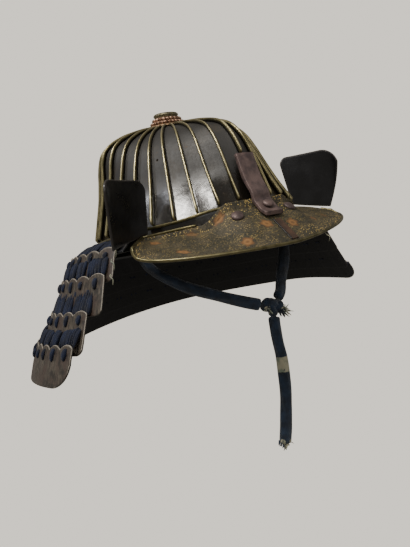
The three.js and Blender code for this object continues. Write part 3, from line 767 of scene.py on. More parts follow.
def indigo_cloth():
    """Plain-woven hemp tube dyed with indigo: faded navy, and pale undyed cotton where the tube wore out. Its
    threads are drawn 0.9 mm apart, coarser than real ones, so that they show."""
    made, add, shader = start_material("indigo hemp cloth")
    where, flat = add("where"), add("flat")
    warp = add("stripes", flat, every(0.9) / WAVE_BANDS, 2.0, 2.0, bands_direction="X")
    weft = add("stripes", flat, every(0.9) / WAVE_BANDS, 2.0, 2.0, bands_direction="Y")
    weave = add("times", warp, weft)
    fade, fine = add("noise", where, every(9), 4, 0.55), add("noise", where, every(1.6), 4, 0.7)
    base = add("mix", add("range", fade, 0.34, 0.7), colour("#0E1A2A"), colour("#1C2E44"))
    base = add("mix", add("range", fine, 0.6, 0.76, 0, 0.55), base, colour("#0C121C"))
    bare = add("plus", add("kept", attribute_name="worn"), add("times", fine, 0.35))
    worn = add("range", bare, 0.55, 0.75)
    core = add("mix", add("range", fade, 0.4, 0.6), colour("#7C8473"), colour("#A9A48C"))
    base = add("mix", worn, base, core)
    finish_material(made, shader, base, 0.9, add("plus", weave, fine), 0.35, 0.8)
    shader.inputs["Sheen Weight"].default_value = 0.25
    return made


def studio_paper(tint, seen, lit):
    """Lit seamless paper, evenly as bright as the air round it, so that no line shows where they meet."""
    made, _, shader = start_material("seamless studio paper")
    finish_material(made, shader, (0, 0, 0, 1), 1.0)
    shader.inputs["Specular IOR Level"].default_value = 0
    shader.inputs["Emission Color"].default_value = (*tint, 1)
    tree = made.node_tree
    tree.links.new(seen_or_lit(tree, seen, lit), shader.inputs["Emission Strength"])
    return made


MATERIALS = {}


def finish_with(made, maker, *words):
    """Gives a piece its material, made once."""
    key = (maker.__name__, *words)
    if key not in MATERIALS:
        MATERIALS[key] = maker(*words)
    made.data.materials.clear()
    made.data.materials.append(MATERIALS[key])
    return made


def settle(made, slot, *nodes):
    """The finished piece rides on the helmet and stands for its solids; slot is not used."""
    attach(made, "root")
    if nodes:
        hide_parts(*nodes)
    return made


# What a user may change

class BowlSizes(bpy.types.PropertyGroup):
    gutter: bpy.props.FloatProperty(
        name="Gutter", description="Hollow of each plate between two ribs, in millimetres",
        default=0.35, min=0, max=2)
    rib_width: bpy.props.FloatProperty(
        name="Rib width", description="Width of a rib's brass at the rim, in millimetres",
        default=3.0, min=1, max=6)
    rib_height: bpy.props.FloatProperty(
        name="Rib height", description="Height of a rib at the rim, in millimetres",
        default=4.6, min=2, max=8)
    beads: bpy.props.IntProperty(
        name="Beads", description="Beads in the crown fitting's lower row; the upper row has 4 fewer",
        default=26, min=8, max=60)


class VisorSizes(bpy.types.PropertyGroup):
    thickness: bpy.props.FloatProperty(
        name="Thickness", description="Leather thickness in millimetres", default=1.4, min=1, max=3)
    tube: bpy.props.FloatProperty(
        name="Rim tube", description="Radius of the brass round the visor, in millimetres",
        default=1.5, min=0.5, max=3)
    flower: bpy.props.FloatProperty(
        name="Flower", description="Radius of a printed flower in millimetres", default=6.8, min=2, max=12)


class NeckSizes(bpy.types.PropertyGroup):
    pitch: bpy.props.FloatProperty(
        name="Scale pitch", description="Width of one scale in millimetres", default=25.0, min=8, max=30)
    scallop: bpy.props.FloatProperty(
        name="Scallop", description="Height of the wavy top edge in millimetres", default=4.0, min=0, max=6)
    strand: bpy.props.FloatProperty(
        name="Strand", description="Width of one lacing strand in millimetres", default=5.2, min=1, max=8)
    strands: bpy.props.IntProperty(
        name="Strands", description="Strands in a bundle of lacing", default=4, min=1, max=8)


class CordSizes(bpy.types.PropertyGroup):
    diameter: bpy.props.FloatProperty(
        name="Diameter", description="Chin cord's diameter in millimetres", default=11.0, min=4, max=20)


class StageSettings(bpy.types.PropertyGroup):
    key_power: bpy.props.FloatProperty(
        name="Key light", description="Power of the large soft light in watts", default=20.0, min=0, max=200)
    background: bpy.props.FloatVectorProperty(
        name="Background", description="Colour behind the helmet", subtype="COLOR", size=3,
        default=colour("#D8D2C7")[:3], min=0, max=1)
    brightness: bpy.props.FloatProperty(
        name="Brightness", description="How bright the paper looks", default=1.62, min=0, max=5)
    ambient: bpy.props.FloatProperty(
        name="Ambient", description="Strength of the light that the paper gives", default=0.4, min=0, max=5)


GROUPS = {"helmet_bowl": BowlSizes, "helmet_visor": VisorSizes, "helmet_neck": NeckSizes,
          "helmet_cord": CordSizes, "helmet_stage": StageSettings}


# Stage

class HELMET_OT_stage(bpy.types.Operator):
    """Camera, floor, backdrop and soft lights"""
    bl_idname = "helmet.stage"
    bl_label = "Stage"

    def execute(self, context):
        settings = context.scene.helmet_stage
        place_camera(context.scene)
        floor = lay_mesh("studio_floor", *wide_floor())
        paper = (tuple(settings.background), settings.brightness, settings.ambient)
        finish_with(floor, studio_paper, *paper)
        for name, lamp in LAMPS.items():
            soft_light(name, lamp, settings.key_power * lamp["share"])
        world = bpy.data.worlds.new("studio air")
        context.scene.world = world
        world.use_nodes = True
        tree = world.node_tree
        air = tree.nodes["Background"]
        air.inputs[0].default_value = (*settings.background, 1.0)
        tree.links.new(seen_or_lit(tree, settings.brightness, settings.ambient), air.inputs[1])
        return {"FINISHED"}


def wide_floor():
    """A flat square of points far below the helmet, as a 3 by 3 grid, and its faces."""
    x = np.linspace(-FLOOR_HALF, FLOOR_HALF, 3)
    gx, gy = np.meshgrid(x, x, indexing="ij")
    return xyz(gx, gy, np.full_like(gx, FLOOR_Z)), quads(3, 3)


def put(name, data, right, up, back, at):
    """A new object with three given axes at a place in millimetres."""
    made = bpy.data.objects.new(name, data)
    bpy.context.scene.collection.objects.link(made)
    turn = np.eye(4)
    turn[:3, 0], turn[:3, 1], turn[:3, 2] = right, up, back
    turn[:3, 3] = np.array(at) * MM
    made.matrix_world = Matrix(turn)
    return made


def soft_light(name, lamp, power):
    """A rectangular lamp aimed at a point."""
    data = bpy.data.lights.new(name, "AREA")
    data.shape = "RECTANGLE"
    data.size, data.size_y = [side * MM for side in lamp["size"]]
    data.energy, data.color = power, colour(lamp["tint"])[:3]
    back = unit(np.array(lamp["at"], float) - np.array(lamp["to"], float))
    side = unit(np.cross([0, 0, 1], back))
    put(name, data, side, np.cross(back, side), back, lamp["at"])


def place_camera(scene):
    """Camera to the wearer's right of the front, a little above the rim, tipped as the helmet itself
    sits."""
    a, e, roll = [math.radians(CAMERA[key]) for key in ("turn", "rise", "roll")]
    back = np.array([math.sin(a) * math.cos(e), -math.cos(a) * math.cos(e), math.sin(e)])
    level = np.array([math.cos(a), math.sin(a), 0])
    plumb = np.cross(back, level)
    right = math.cos(roll) * level + math.sin(roll) * plumb
    up = -math.sin(roll) * level + math.cos(roll) * plumb
    data = bpy.data.cameras.new("camera")
    data.sensor_width, data.lens = 36, CAMERA["lens"]
    at = back * CAMERA["distance"] + right * CAMERA["right"] + up * CAMERA["up"]
    scene.camera = put("camera", data, right, up, back, at)
    data.clip_start, data.clip_end = 0.01, 100


# Chin cord

def cord_line(points, count):
    """A smooth line through the route's points, evenly spaced, and its length."""
    fine = through(points, np.linspace(0, 1, 400))
    long = run_along(fine)
    even = np.linspace(0, long[-1], count)
    return np.stack([np.interp(even, long, fine[:, k]) for k in range(3)], -1), float(long[-1])


def cloth_tube(name, points, radius, worn, seed):
    """A cloth tube along a route: a circle carried along it, whose radius is r * (1 + folds) where the
    folds are sines round and along it, and whose ends close. worn gives how bare it is along it and round
    it."""
    rings, sides = 70, 28
    line, long = cord_line(points, rings)
    tangent = unit(np.gradient(line, axis=0))
    side = unit(np.cross(tangent, [0.2, 0.9, 0.35]))
    up = np.cross(tangent, side)
    rng = np.random.default_rng(seed)
    s = np.linspace(0, 1, rings)[:, None]
    a = np.linspace(0, 2 * math.pi, sides, endpoint=False)[None, :]
    d = s * long

    def fold(k):
        return rng.uniform(0.02, 0.05) * np.sin(k * a + rng.uniform(0, 6) + d / rng.uniform(6, 14))

    folds = sum(fold(k) for k in (1, 2, 3, 5))
    flat = 1 - 0.14 * np.cos(2 * a + 0.8 + d / 60)
    end = round_edge(np.minimum(d, long - d), 3.0)
    r = radius * (0.97 + folds) * flat * np.maximum(end, 0.002)
    p = line[:, None] + side[:, None] * (r * np.cos(a))[..., None] + up[:, None] * (r * np.sin(a))[..., None]
    uv = np.stack(np.broadcast_arrays(a * radius, d), -1)
    bare = np.broadcast_to(worn(s, a), r.shape)
    made = tidy_mesh(lay_mesh(name, p, quads(rings, sides, False, True), uv, worn=bare))
    return finish_with(made, indigo_cloth), line, long


def cord_wear(s, a):
    """The loop's two halves fade towards the knot."""
    return 0.25 * smooth(0.85, 1, s)


def tail_wear(s, a):
    """The tail's tube is worn through in a band over a third of the way down, and in patches at its end."""
    band = smooth(0.31, 0.33, s) - smooth(0.42, 0.46, s)
    return band + smooth(0.93, 0.98, s) * (0.5 + 0.5 * np.sin(3 * a))


def frays(name, at, way, count, reach, worn, seed):
    """Loose threads from around a point: each leaves near it and ends a random distance along a spread of
    ways."""
    rng = np.random.default_rng(seed)
    start = np.asarray(at, float) + rng.normal(0, 1.6, (count, 3))
    way = unit(np.asarray(way, float) + rng.normal(0, 0.45, (count, 3)))
    finish = start + way * (reach * rng.uniform(0.5, 1.0, count))[:, None]
    aside = unit(np.cross(way, rng.normal(0, 1, (count, 3))))
    bulge, width = rng.uniform(0.4, 1.4, count), rng.uniform(0.8, 1.8, count)
    thick = rng.uniform(0.6, 1.2, count)
    threads = strand_mesh(name, start, finish, bulge, aside, width, thick, 6, 7, worn)
    return settle(finish_with(threads, indigo_cloth), "navy_cloth")


class HELMET_OT_chin_cord(bpy.types.Operator):
    """Chin cord: both halves of the loop, its knot and its hanging tail"""
    bl_idname = "helmet.chin_cord"
    bl_label = "Chin cord"

    def execute(self, context):
        radius = context.scene.helmet_cord.diameter / 2
        knot = settle(knot_piece(), "navy_cloth", "chin_cord_knot")
        for name, points, seed in (("chin_cord_right", CORD_RIGHT, 3), ("chin_cord_left", CORD_LEFT, 8)):
            made, line, long = cloth_tube("cloth_" + name, points, radius, cord_wear, seed)
            settle(made, "navy_cloth", name)
        tail, line, long = cloth_tube("cloth_chin_cord_tail", CORD_TAIL, radius, tail_wear, 5)
        settle(tail, "navy_cloth", "chin_cord_tail")
        places = {"knot": np.array(KNOT, float), "tail_end": line[-1], "tail_middle": line[31]}
        for name, fray in FRAYS.items():
            at = places[fray["on"]] + np.array(fray["off"])
            frays(name, at, fray["way"], fray["count"], fray["reach"], fray["worn"], fray["seed"])
        return {"FINISHED"}


def knot_piece():
    """A tied knot: a thick cord wound on a small trefoil, (sin t + 2 sin 2t, -sin 3t, cos t - 2 cos 2t)."""
    t = np.linspace(0, 2 * math.pi, 96, endpoint=False)
    wide, deep, tall = 2.7, 3.4, 2.0
    line = np.stack([(np.sin(t) + 2 * np.sin(2 * t)) * wide, -np.sin(3 * t) * deep,
                     (np.cos(t) - 2 * np.cos(2 * t)) * tall], -1)
    line[:, 2] -= 0.25 * line[:, 0]
    line = line + np.array(KNOT)
    tangent = unit(np.roll(line, -1, 0) - np.roll(line, 1, 0))
    side = unit(np.cross(tangent, [0, 1, 0.01]))
    r = 4.6 + 0.5 * np.sin(9 * t)[:, None]
    uv = np.stack(np.broadcast_arrays(np.linspace(0, 26, 20)[None, :], (t * 10)[:, None]), -1)
    made = sweep("cloth_chin_cord_knot", line, side * r, np.cross(tangent, side) * r, circle(20), ring=True,
                 uv=uv, worn=0.2)
    return finish_with(made, indigo_cloth)


# Bowl

def bowl_grid(columns, heights, gutter):
    """Outside of the bowl: straight from rib to rib, each plate hollowed by gutter * 4f(1 - f), f across
    it."""
    k, f = np.divmod(np.arange(PLATES * columns), columns)
    f = (f / columns)[:, None]
    a0, a1, t = rib_angle(k)[:, None], rib_angle(k + 1)[:, None], heights[None, :]
    p = lerp(bowl_point(a0, t), bowl_point(a1, t), f[..., None])
    n = bowl_facing(lerp(a0, a1, f), np.broadcast_to(t, p.shape[:2]))
    return p - n * (gutter * 4 * f * (1 - f) * (1 - 0.6 * t))[..., None], n


class HELMET_OT_bowl(bpy.types.Operator):
    """Bowl of 32 lacquered plates, its base band and its brass trim line"""
    bl_idname = "helmet.bowl"
    bl_label = "Bowl"

    def execute(self, context):
        sizes = context.scene.helmet_bowl
        outside, n = bowl_grid(8, steps(44, 150, 2) * 0.981 + 0.004, sizes.gutter)
        reach = np.linspace(0, 150, outside.shape[1])
        thick = BOWL_T * round_edge(np.minimum(reach, reach[::-1]), 1.2)
        shell = plate("lacquered_bowl_plates", outside - n * BOWL_T / 2, thick[None, :], ring=True, normal=n)
        settle(finish_with(shell, lacquered_iron), "black_lacquer", "bowl_shell")
        band = rim_ring("lacquered_base_band", BAND, soft_box(24, 8))
        settle(finish_with(band, lacquered_iron), "black_lacquer", "base_band")
        # high 0.87 lies between the brass's painted shade and painted highlight, so the trim has neither.
        trim = rim_ring("brass_rim_trim", TRIM, soft_box(14, 2.6), high=0.87)
        settle(finish_with(trim, edging_brass), "brass", "rim_trim")
        return {"FINISHED"}


def rim_ring(name, size, loop, **values):
    """A bar laid round the rim, whose middle line lies size["out"] from it and size["z"] over it."""
    angle = np.linspace(0, 2 * math.pi, 256, endpoint=False)
    outward = rim_point(angle, 1.0, 0) - rim_point(angle, 0.0, 0)
    upward = np.broadcast_to([0.0, 0.0, 1.0], outward.shape)
    line = rim_point(angle, size["out"], rim_rise(angle) + size["z"])
    side, up = outward * size["thick"] / 2, upward * size["tall"] / 2
    return sweep(name, line, side, up, loop, ring=True, **values)


def rib_piece(index, width, height):
    """One standing plate edge with its rolled brass: the loop carried up the bowl at the rib's angle,
    narrowing from the rim to the crown, with both ends rounded down."""
    angle = rib_angle(index)
    foot = RIB_FEET.get(min(index, PLATES - index), RIB_FOOT)
    climb = np.linspace(0.6, 0.98, 300)
    path = bowl_point(np.full_like(climb, angle), climb)
    top = np.interp(-RIB_TOP_R, -np.hypot(path[:, 0], path[:, 1] - CROWN_Y), climb)
    s = steps(46, 160, 3)
    t = lerp(foot, top, s)
    line, n = bowl_point(np.full_like(t, angle), t), bowl_facing(np.full_like(t, angle), t)
    along = unit(np.gradient(line, axis=0))
    across = unit(np.cross(along, n))
    long = run_along(line)
    end = np.maximum(round_edge(np.minimum(long, long[-1] - long), 2.6), 0.05)[:, None]
    w, h = lerp(width, 2.2, s * s)[:, None], (RIB_GAP + height) * lerp(1, 0.62, s * s)[:, None]
    loop = np.array(RIB_LOOP)
    name = f"brass_rib_cover_{index + 1:02d}"
    # high, the height in the section, puts the brass's painted shade low on the rib's sides and its painted
    # highlight on top.
    return sweep(name, line, across * w, n * h * end, loop, high=loop[None, :, 1])


class HELMET_OT_ribs(bpy.types.Operator):
    """The standing ribs, a brass edging on each"""
    bl_idname = "helmet.ribs"
    bl_label = "Ribs"

    def execute(self, context):
        sizes = context.scene.helmet_bowl
        for k in range(PLATES):
            rib = finish_with(rib_piece(k, sizes.rib_width, sizes.rib_height), edging_brass)
            settle(rib, "brass", f"rib_cover_{k + 1:02d}")
        return {"FINISHED"}


# Crown fitting

def round_crown(a, r, z):
    """Points at angles and radii round the crown axis, z above the crown's own leaning plane."""
    ahead = r * np.cos(a)[:, None]
    return xyz(r * np.sin(a)[:, None], CROWN_Y + ahead, CROWN_Z + z + CROWN_LEAN * ahead)


def crown_lathe(name, profile, lobes=0.0):
    """A closed profile of radius and height turned round the crown axis. Sixteen shallow lobes push its
    rim out by r * lobes * |sin 8a|."""
    profile = np.array(profile, float)
    a = np.linspace(0, 2 * math.pi, 96, endpoint=False)
    r, z = np.broadcast_arrays(profile[None, :, 0], profile[None, :, 1])
    r, z = np.repeat(r, a.size, 0), np.repeat(z, a.size, 0)
    r = r * (1 + lobes * np.abs(np.sin(8 * a[:, None])) * (r > 21))
    # high: share of the way out from the hole; the copper is given painted shade where it is low.
    high = np.clip((r - 9.5) / (r.max(0) - 9.5), 0, 1)
    faces = quads(a.size, len(profile), True, True)
    return tidy_mesh(lay_mesh(name, round_crown(a, r, z), faces, high=high))


def bead_row(name, count, middle, z):
    """A ring of joined beads: a tube whose radius is BEAD_R * sqrt(1 - 0.9 p^2), p across each bead, on a
    plain collar."""
    ring = circle(14)
    a = np.linspace(0, 2 * math.pi, count * 10, endpoint=False)
    p = 2 * ((a * count / (2 * math.pi)) % 1) - 1
    fat = BEAD_R * np.sqrt(np.maximum(1 - p**2 * 0.9, 0.1))[:, None]
    r, high = middle + fat * ring[None, :, 0], z + fat * ring[None, :, 1] * 0.92
    # shine: how far a point stands out on its bead; the copper is given painted shade where it is low,
    # between beads.
    shine = np.broadcast_to(np.clip((fat / BEAD_R - 0.3) / 0.6, 0, 1), r.shape)
    beads = lay_mesh(name, round_crown(a, r, high), quads(len(a), 14, True, True), high=shine)
    low, top, wall = z - 1.9, z + 1.9, middle - 0.6
    collar = [[CROWN_HOLE, low], [wall, low], [middle - 0.2, z], [wall, top], [CROWN_HOLE, top]]
    return join(beads, crown_lathe("collar", collar))


class HELMET_OT_crown(bpy.types.Operator):
    """Crown fitting: flange, two rows of beads, and the top ring round an open hole"""
    bl_idname = "helmet.crown"
    bl_label = "Crown fitting"

    def execute(self, context):
        count = context.scene.helmet_bowl.beads
        flange = crown_lathe("copper_crown_flange", FLANGE, 0.018)
        finish_with(flange, copper, "browned sheet copper", "#A5886A", "#634732", 9)
        settle(flange, "copper", "crown_flange")
        for name, row in BEAD_ROWS.items():
            beads = bead_row("copper_" + name, count - row["fewer"], row["middle"], row["z"])
            finish_with(beads, copper, "browned copper beads", "#B3937C", "#6A4E3D", 6)
            settle(beads, "copper", name)
        top = crown_lathe("bronze_crown_ring", TOP_RING)
        finish_with(top, copper, "olive cast bronze", "#8A8467", "#565140", 7)
        settle(top, "bronze", "crown_ring")
        return {"FINISHED"}


def join(first, second):
    """Puts the second mesh into the first."""
    bpy.ops.object.select_all(action="DESELECT")
    first.select_set(True)
    second.select_set(True)
    bpy.context.view_layer.objects.active = first
    bpy.ops.object.join()
    return tidy_mesh(first)


# Visor

def flower_mask(x, y, size):
    """Printed motifs on the flat leather, in millimetres: a flower is where the distance to its centre is
    under size * (0.68 + 0.32 |cos 2.5 angle|), its heart is a ring at 0.4 of its size, and a scroll is
    where the distance is near a spiral's radius round a flower."""
    rng = np.random.default_rng(4)
    flower, heart, scroll = np.zeros_like(x), np.zeros_like(x), np.zeros_like(x)
    for cx, cy, strength in FLOWERS:
        dx, dy = x - cx, y - cy
        d, turn = np.hypot(dx, dy), np.arctan2(dy, dx) + rng.uniform(0, 6)
        grow = size * rng.uniform(0.9, 1.1)
        edge = grow * (0.68 + 0.32 * np.abs(np.cos(2.5 * turn)))
        flower = np.maximum(flower, smooth(-0.6, 1.6, edge - d) * strength)
        heart = np.maximum(heart, smooth(0.24, 0.08, np.abs(d / grow - 0.4)) * strength)
        curl = np.abs(((d / (grow * 0.4) - turn * 0.32) % 1.0) - 0.5)
        near = smooth(grow * 2.6, grow * 1.3, d) * smooth(grow * 1.0, grow * 1.25, d)
        scroll = np.maximum(scroll, smooth(0.16, 0.06, curl) * near)
    return flower, heart, scroll


def visor_leather(thickness, flower_size):
    """The printed sheet. Its gold border is dense along the rear edge, down the middle, along the
    wearer's left front and at the right tip, and thin elsewhere."""
    u = crowded(361)[:, None]
    knee = [VISOR_KNEE - 0.005, VISOR_KNEE, VISOR_KNEE + 0.005]
    v = np.unique(np.concatenate([steps(70, 60, 0.8), knee]))[None, :]
    middle = visor_point(u, v)
    x, y = (u * VISOR_END * VISOR_R * 1.04) * np.ones_like(v), run_along(middle, 1)
    from_front = y[:, -1:] - y
    flower, heart, scroll = flower_mask(x, y, flower_size)
    borders = [smooth(11, 5, y) * smooth(0.1, -0.2, u), smooth(0.32, 0.16, np.abs(u)) * smooth(30, 14, y),
               smooth(16, 5, from_front) * smooth(0.0, 0.2, u), smooth(-0.8, -0.94, u) * np.ones_like(y)]
    gilt = (0.34 + 0.66 * np.max(borders, axis=0)) * (1 - flower)
    half = thickness * round_edge(np.minimum(np.minimum(y, from_front), 2.0), 0.7)
    sheet = plate("printed_leather_visor", middle, half, uv=np.stack([x, y], -1), normal=visor_facing(u, v),
                  flower=flower, heart=heart, scroll=scroll, gilt=gilt)
    return finish_with(sheet, printed_leather)


class HELMET_OT_visor(bpy.types.Operator):
    """Printed leather visor, its brass rim, seam strip and rivets"""
    bl_idname = "helmet.visor"
    bl_label = "Visor"

    def execute(self, context):
        sizes = context.scene.helmet_visor
        settle(visor_leather(sizes.thickness, sizes.flower), "printed_leather", "visor_plate")
        settle(visor_brass(sizes.tube), "brass", "visor_rim")
        settle(seam_strip(), "brown_leather", "visor_seam")
        visor_rivet("centre", RIVET_CENTRE["at"], RIVET_CENTRE["axis"], RIVET_CENTRE)
        for side, sign in (("right", -1), ("left", 1)):
            u, v = np.array([sign * RIVET_SIDE["across"]]), np.array([RIVET_SIDE["ahead"]])
            n = visor_facing(u, v)[0]
            visor_rivet(side, visor_point(u, v)[0] + n * 0.7, n, RIVET_SIDE)
        return {"FINISHED"}


def visor_rivet(side, base, axis, size):
    """A domed rivet of forged iron."""
    made = finish_with(dome("iron_rivet_" + side, base, axis, size["radius"], size["tall"]), russet_iron)
    return settle(made, "russet_iron", "visor_rivet_" + side)


def visor_brass(radius):
    """Brass tube round the visor's edge: from the raised tab along the rear to the wearer's right tip,
    along the front, and round the left tip."""
    rear = lerp(TUBE_START, -1, np.sin(np.linspace(0, math.pi / 2, 70)))
    front, round_tip = crowded(200), np.linspace(1, TUBE_END, 9)
    u = np.concatenate([rear, front, round_tip])
    v = np.concatenate([np.zeros(rear.size), np.ones(front.size), np.zeros(round_tip.size)])
    edge, n = visor_point(u, v), visor_facing(u, v)
    along = unit(np.gradient(edge, axis=0))
    away = unit(np.cross(along, n))
    inward = visor_point(u * 0.9, np.full_like(v, 0.5)) - edge
    away = np.where(((away * inward).sum(-1) > 0)[:, None], -away, away)
    up = unit(np.cross(away, along))
    centre = edge + away * radius * 0.75
    # high 0.88 lies between the brass's painted shade and painted highlight, so the tube has neither.
    tube = sweep("brass_visor_rim", centre, away * radius, up * radius * 1.1, circle(14), high=0.88)
    return finish_with(tube, edging_brass)


def seam_strip():
    """Leather strip down the visor's middle, which lies on it, with a dark line along one edge."""
    half = SEAM_W / 2
    x, v = np.linspace(-half, half, 31), steps(24, 40, 0.6)
    u = (np.arcsin(x / VISOR_R) / VISOR_END)[:, None]
    t = lerp(SEAM_FROM, SEAM_TO, v)[None, :]
    middle = visor_point(u, t) + visor_facing(u, t) * 1.25
    away = np.abs(x)[:, None]
    edge = np.minimum(half - away, np.minimum(v, 1 - v)[None, :] * 40)
    dark = np.broadcast_to(smooth(-2.7, -3.3, x)[:, None] * smooth(0, 1, 5 - away), middle.shape[:2])
    strip = plate("leather_visor_seam", middle, SEAM_T * round_edge(edge, 0.6), dark=dark)
    return finish_with(strip, brown_leather)


class HELMET_OT_crest_bar(bpy.types.Operator):
    """Crest-holder bar: a forged iron strap down the front that ends in a square hook"""
    bl_idname = "helmet.crest_bar"
    bl_label = "Crest-holder bar"

    def execute(self, context):
        s = np.linspace(0, 1, 60)
        front, back = through(BAR_FRONT, s), through(BAR_BACK, s)
        zero = np.zeros_like(s)
        middle = xyz(zero, *((front + back) / 2).T)
        up = xyz(zero, *((front - back) / 2).T)
        side = xyz(zero + BAR_W / 2, zero, zero)
        bar = sweep("iron_crest_bar", middle, side, up, soft_box(36, 9))
        settle(finish_with(bar, russet_iron), "russet_iron", "crest_holder_bar")
        return {"FINISHED"}


# Side flaps and neck guard

class HELMET_OT_turnbacks(bpy.types.Operator):
    """The two turned-back side flaps"""
    bl_idname = "helmet.turnbacks"
    bl_label = "Side flaps"

    def execute(self, context):
        for name, shape in FLAPS.items():
            a = (0.5 - 0.5 * np.cos(np.linspace(0, math.pi, 61)))[:, None]
            b = steps(40, 60, 1.2)[None, :]
            middle = flap_point(shape, *np.broadcast_arrays(a, b))
            run, rise = run_along(middle, 0), run_along(middle, 1)
            near = np.minimum(np.minimum(run, run[-1:] - run), np.minimum(rise, rise[:, -1:] - rise))
            thick = FLAP_T * round_edge(near, 1.2)
            # edge: nearness to the flap's rim, which the lacquer paints with a brown-grey highlight.
            flap = plate("leather_turnback_" + name, middle, thick, edge=smooth(5, 0, near))
            settle(finish_with(flap, lacquered_leather), "black_leather", "turnback_" + name)
        return {"FINISHED"}


def scale_waves(long, pitch, high):
    """Height of the wavy top edge: a row of humps, high * |sin| ^ 0.8, one to a scale."""
    return high * np.abs(np.sin(math.pi * long / pitch)) ** 0.8


def lame_piece(name, row, pitch, scallop, columns=420, rows=26):
    """A lame as a sheet: its top edge cut in waves, a shallow groove between its scales, its edges
    rounded."""
    long, share = girth(row)
    d = np.linspace(0, long[-1], columns + 1)
    d = np.unique(np.concatenate([d, [0.05, 0.3, 0.8, long[-1] - 0.8, long[-1] - 0.3, long[-1] - 0.05]]))
    s = np.interp(d, long, share)[:, None]
    top, low = lame_point(row, s, 0.0), lame_point(row, s, 1.0)
    tall = np.linalg.norm(top - low, axis=-1)
    cut = (scallop - scale_waves(d, pitch, scallop))[:, None] / tall
    v = lerp(cut, 1.0, steps(rows, 30, 0.9)[None, :])
    groove = 0.45 * np.cos(math.pi * d / pitch)[:, None] ** 8 * smooth(0, 0.25, v) * smooth(1, 0.75, v)
    middle = lame_point(row, np.broadcast_to(s, v.shape), v, LAME_T / 2 + 0.15 - groove)
    down = (v - cut) * tall
    near = np.minimum(np.minimum(down, tall * (1 - v)), np.minimum(d, long[-1] - d)[:, None])
    uv = np.stack(np.broadcast_arrays(d[:, None], v * tall), -1)
    edge = smooth(1.2, 0.7, near) * smooth(0.05, 0.35, near) * (down < tall * 0.9)
    return plate(name, middle, LAME_T * round_edge(near, 1.0), uv=uv, edge=edge)


class HELMET_OT_neck_guard(bpy.types.Operator):
    """Neck guard: its top plate and four lames"""
    bl_idname = "helmet.neck_guard"
    bl_label = "Neck guard"

    def execute(self, context):
        sizes = context.scene.helmet_neck
        top = lame_piece("leather_neck_plate", PLATE_ROW, 500.0, 0.0, 200, 20)
        settle(finish_with(top, lacquered_leather), "black_leather", "neck_plate")
        for k, row in enumerate(LAMES):
            lame = lame_piece(f"lacquered_neck_lame_{k + 1}", row, sizes.pitch, sizes.scallop)
            settle(finish_with(lame, lame_lacquer), "lame_leather", f"neck_lame_{k + 1}")
        return {"FINISHED"}


def strand_mesh(name, start, finish, bulge, outward, width, thick, sides=8, rings=9, worn=0.0):
    """Many short strands at once: each runs from start to finish, bows outward by bulge * sin(pi s) ^
    0.8, and has an oval section that closes at both ends."""
    s = np.linspace(0, 1, rings)
    line = lerp(start[:, None], finish[:, None], s[None, :, None])
    line = line + outward[:, None] * (bulge[:, None] * np.sin(math.pi * s) ** 0.8)[..., None]
    along = unit(np.gradient(line, axis=1))
    side = unit(np.cross(along, outward[:, None]))
    up = np.cross(side, along)
    ring = circle(sides)[None, None]
    fat = np.maximum(np.sin(math.pi * s) ** 0.35, 0.02)[None, :, None, None]
    wide, deep = (width / 2)[:, None, None, None], (thick / 2)[:, None, None, None]
    p = line[:, :, None] + side[:, :, None] * ring[..., :1] * fat * wide
    p = p + up[:, :, None] * ring[..., 1:] * fat * deep
    count = len(start)
    one = quads(rings, sides, False, True)
    faces = np.concatenate([one + k * rings * sides for k in range(count)])
    long = np.linalg.norm(finish - start, axis=-1)
    across = ring[..., 0] * width[:, None, None] / 2 + np.arange(count)[:, None, None] * 7
    uv = np.stack(np.broadcast_arrays(across, (s[None, :] * long[:, None])[..., None]), -1)
    return tidy_mesh(lay_mesh(name, p, faces, uv, worn=np.full(p.shape[:-1], worn)))


def row_surface(row, s, depth_mm, out):
    """Points on a lame at shares round it and distances down from its top edge, and the outward normals
    there."""
    tall = np.linalg.norm(lame_point(row, s, 0.0) - lame_point(row, s, 1.0), axis=-1)
    v = depth_mm / tall
    p = lame_point(row, s, v, LAME_T + out)
    return p, unit(p - lame_point(row, s, v, 0.0))


def same_angle(row, other, s):
    """Share round another lame at the same angle as share s round a lame, kept off its ends."""
    start, begin = math.radians(row["from"]), math.radians(other["from"])
    share = (lerp(start, 2 * math.pi - start, s) - begin) / (2 * math.pi - 2 * begin)
    return np.clip(share, *LACE_ENDS)


def lame_tall(row, s):
    """Height of a lame at a share round it."""
    return np.linalg.norm(lame_point(row, s, 0.0) - lame_point(row, s, 1.0))


def lacing(name, upper, lower, sizes, seed):
    """Bundles of strands from the upper lame's face down behind the lower lame's top edge, one at each dip
    of that edge and one at each front corner."""
    rng = np.random.default_rng(seed)
    pitch, strand, strands = sizes.pitch, sizes.strand, sizes.strands
    above = lame_tall(upper, 0.3) - LACE_RISE
    long, share = girth(lower)
    last = long[-1]
    middle = np.arange(0.5, int(last / pitch)) * pitch + pitch / 2
    inner = middle[(middle > pitch * 0.8) & (middle < last - pitch * 0.8)]
    middle = np.concatenate([[strand * 1.9], inner, [last - strand * 1.9]])
    offset = (np.arange(strands) - (strands - 1) / 2) * strand * 0.84
    d = (middle[:, None] + offset[None, :]).ravel() + rng.normal(0, 0.4, middle.size * strands)
    s, size = np.interp(d, long, share), d.size
    crown = np.tile(1 - (offset / (offset[-1] * 1.6)) ** 2, middle.size)
    foot, n = row_surface(lower, s, np.full(size, LACE_FOOT), -LAME_T - 0.3)
    depth = above - 2 * crown + rng.normal(0, 0.7, size)
    head, n_up = row_surface(upper, same_angle(lower, upper, s), depth, 0.0)
    bulge = rng.uniform(5.2, 6.6, size) * (0.6 + 0.45 * crown)
    width, thick = rng.normal(strand, 0.3, size), rng.normal(LACE_T, 0.3, size)
    return strand_mesh(name, head, foot, bulge, unit(n + n_up), width, thick)


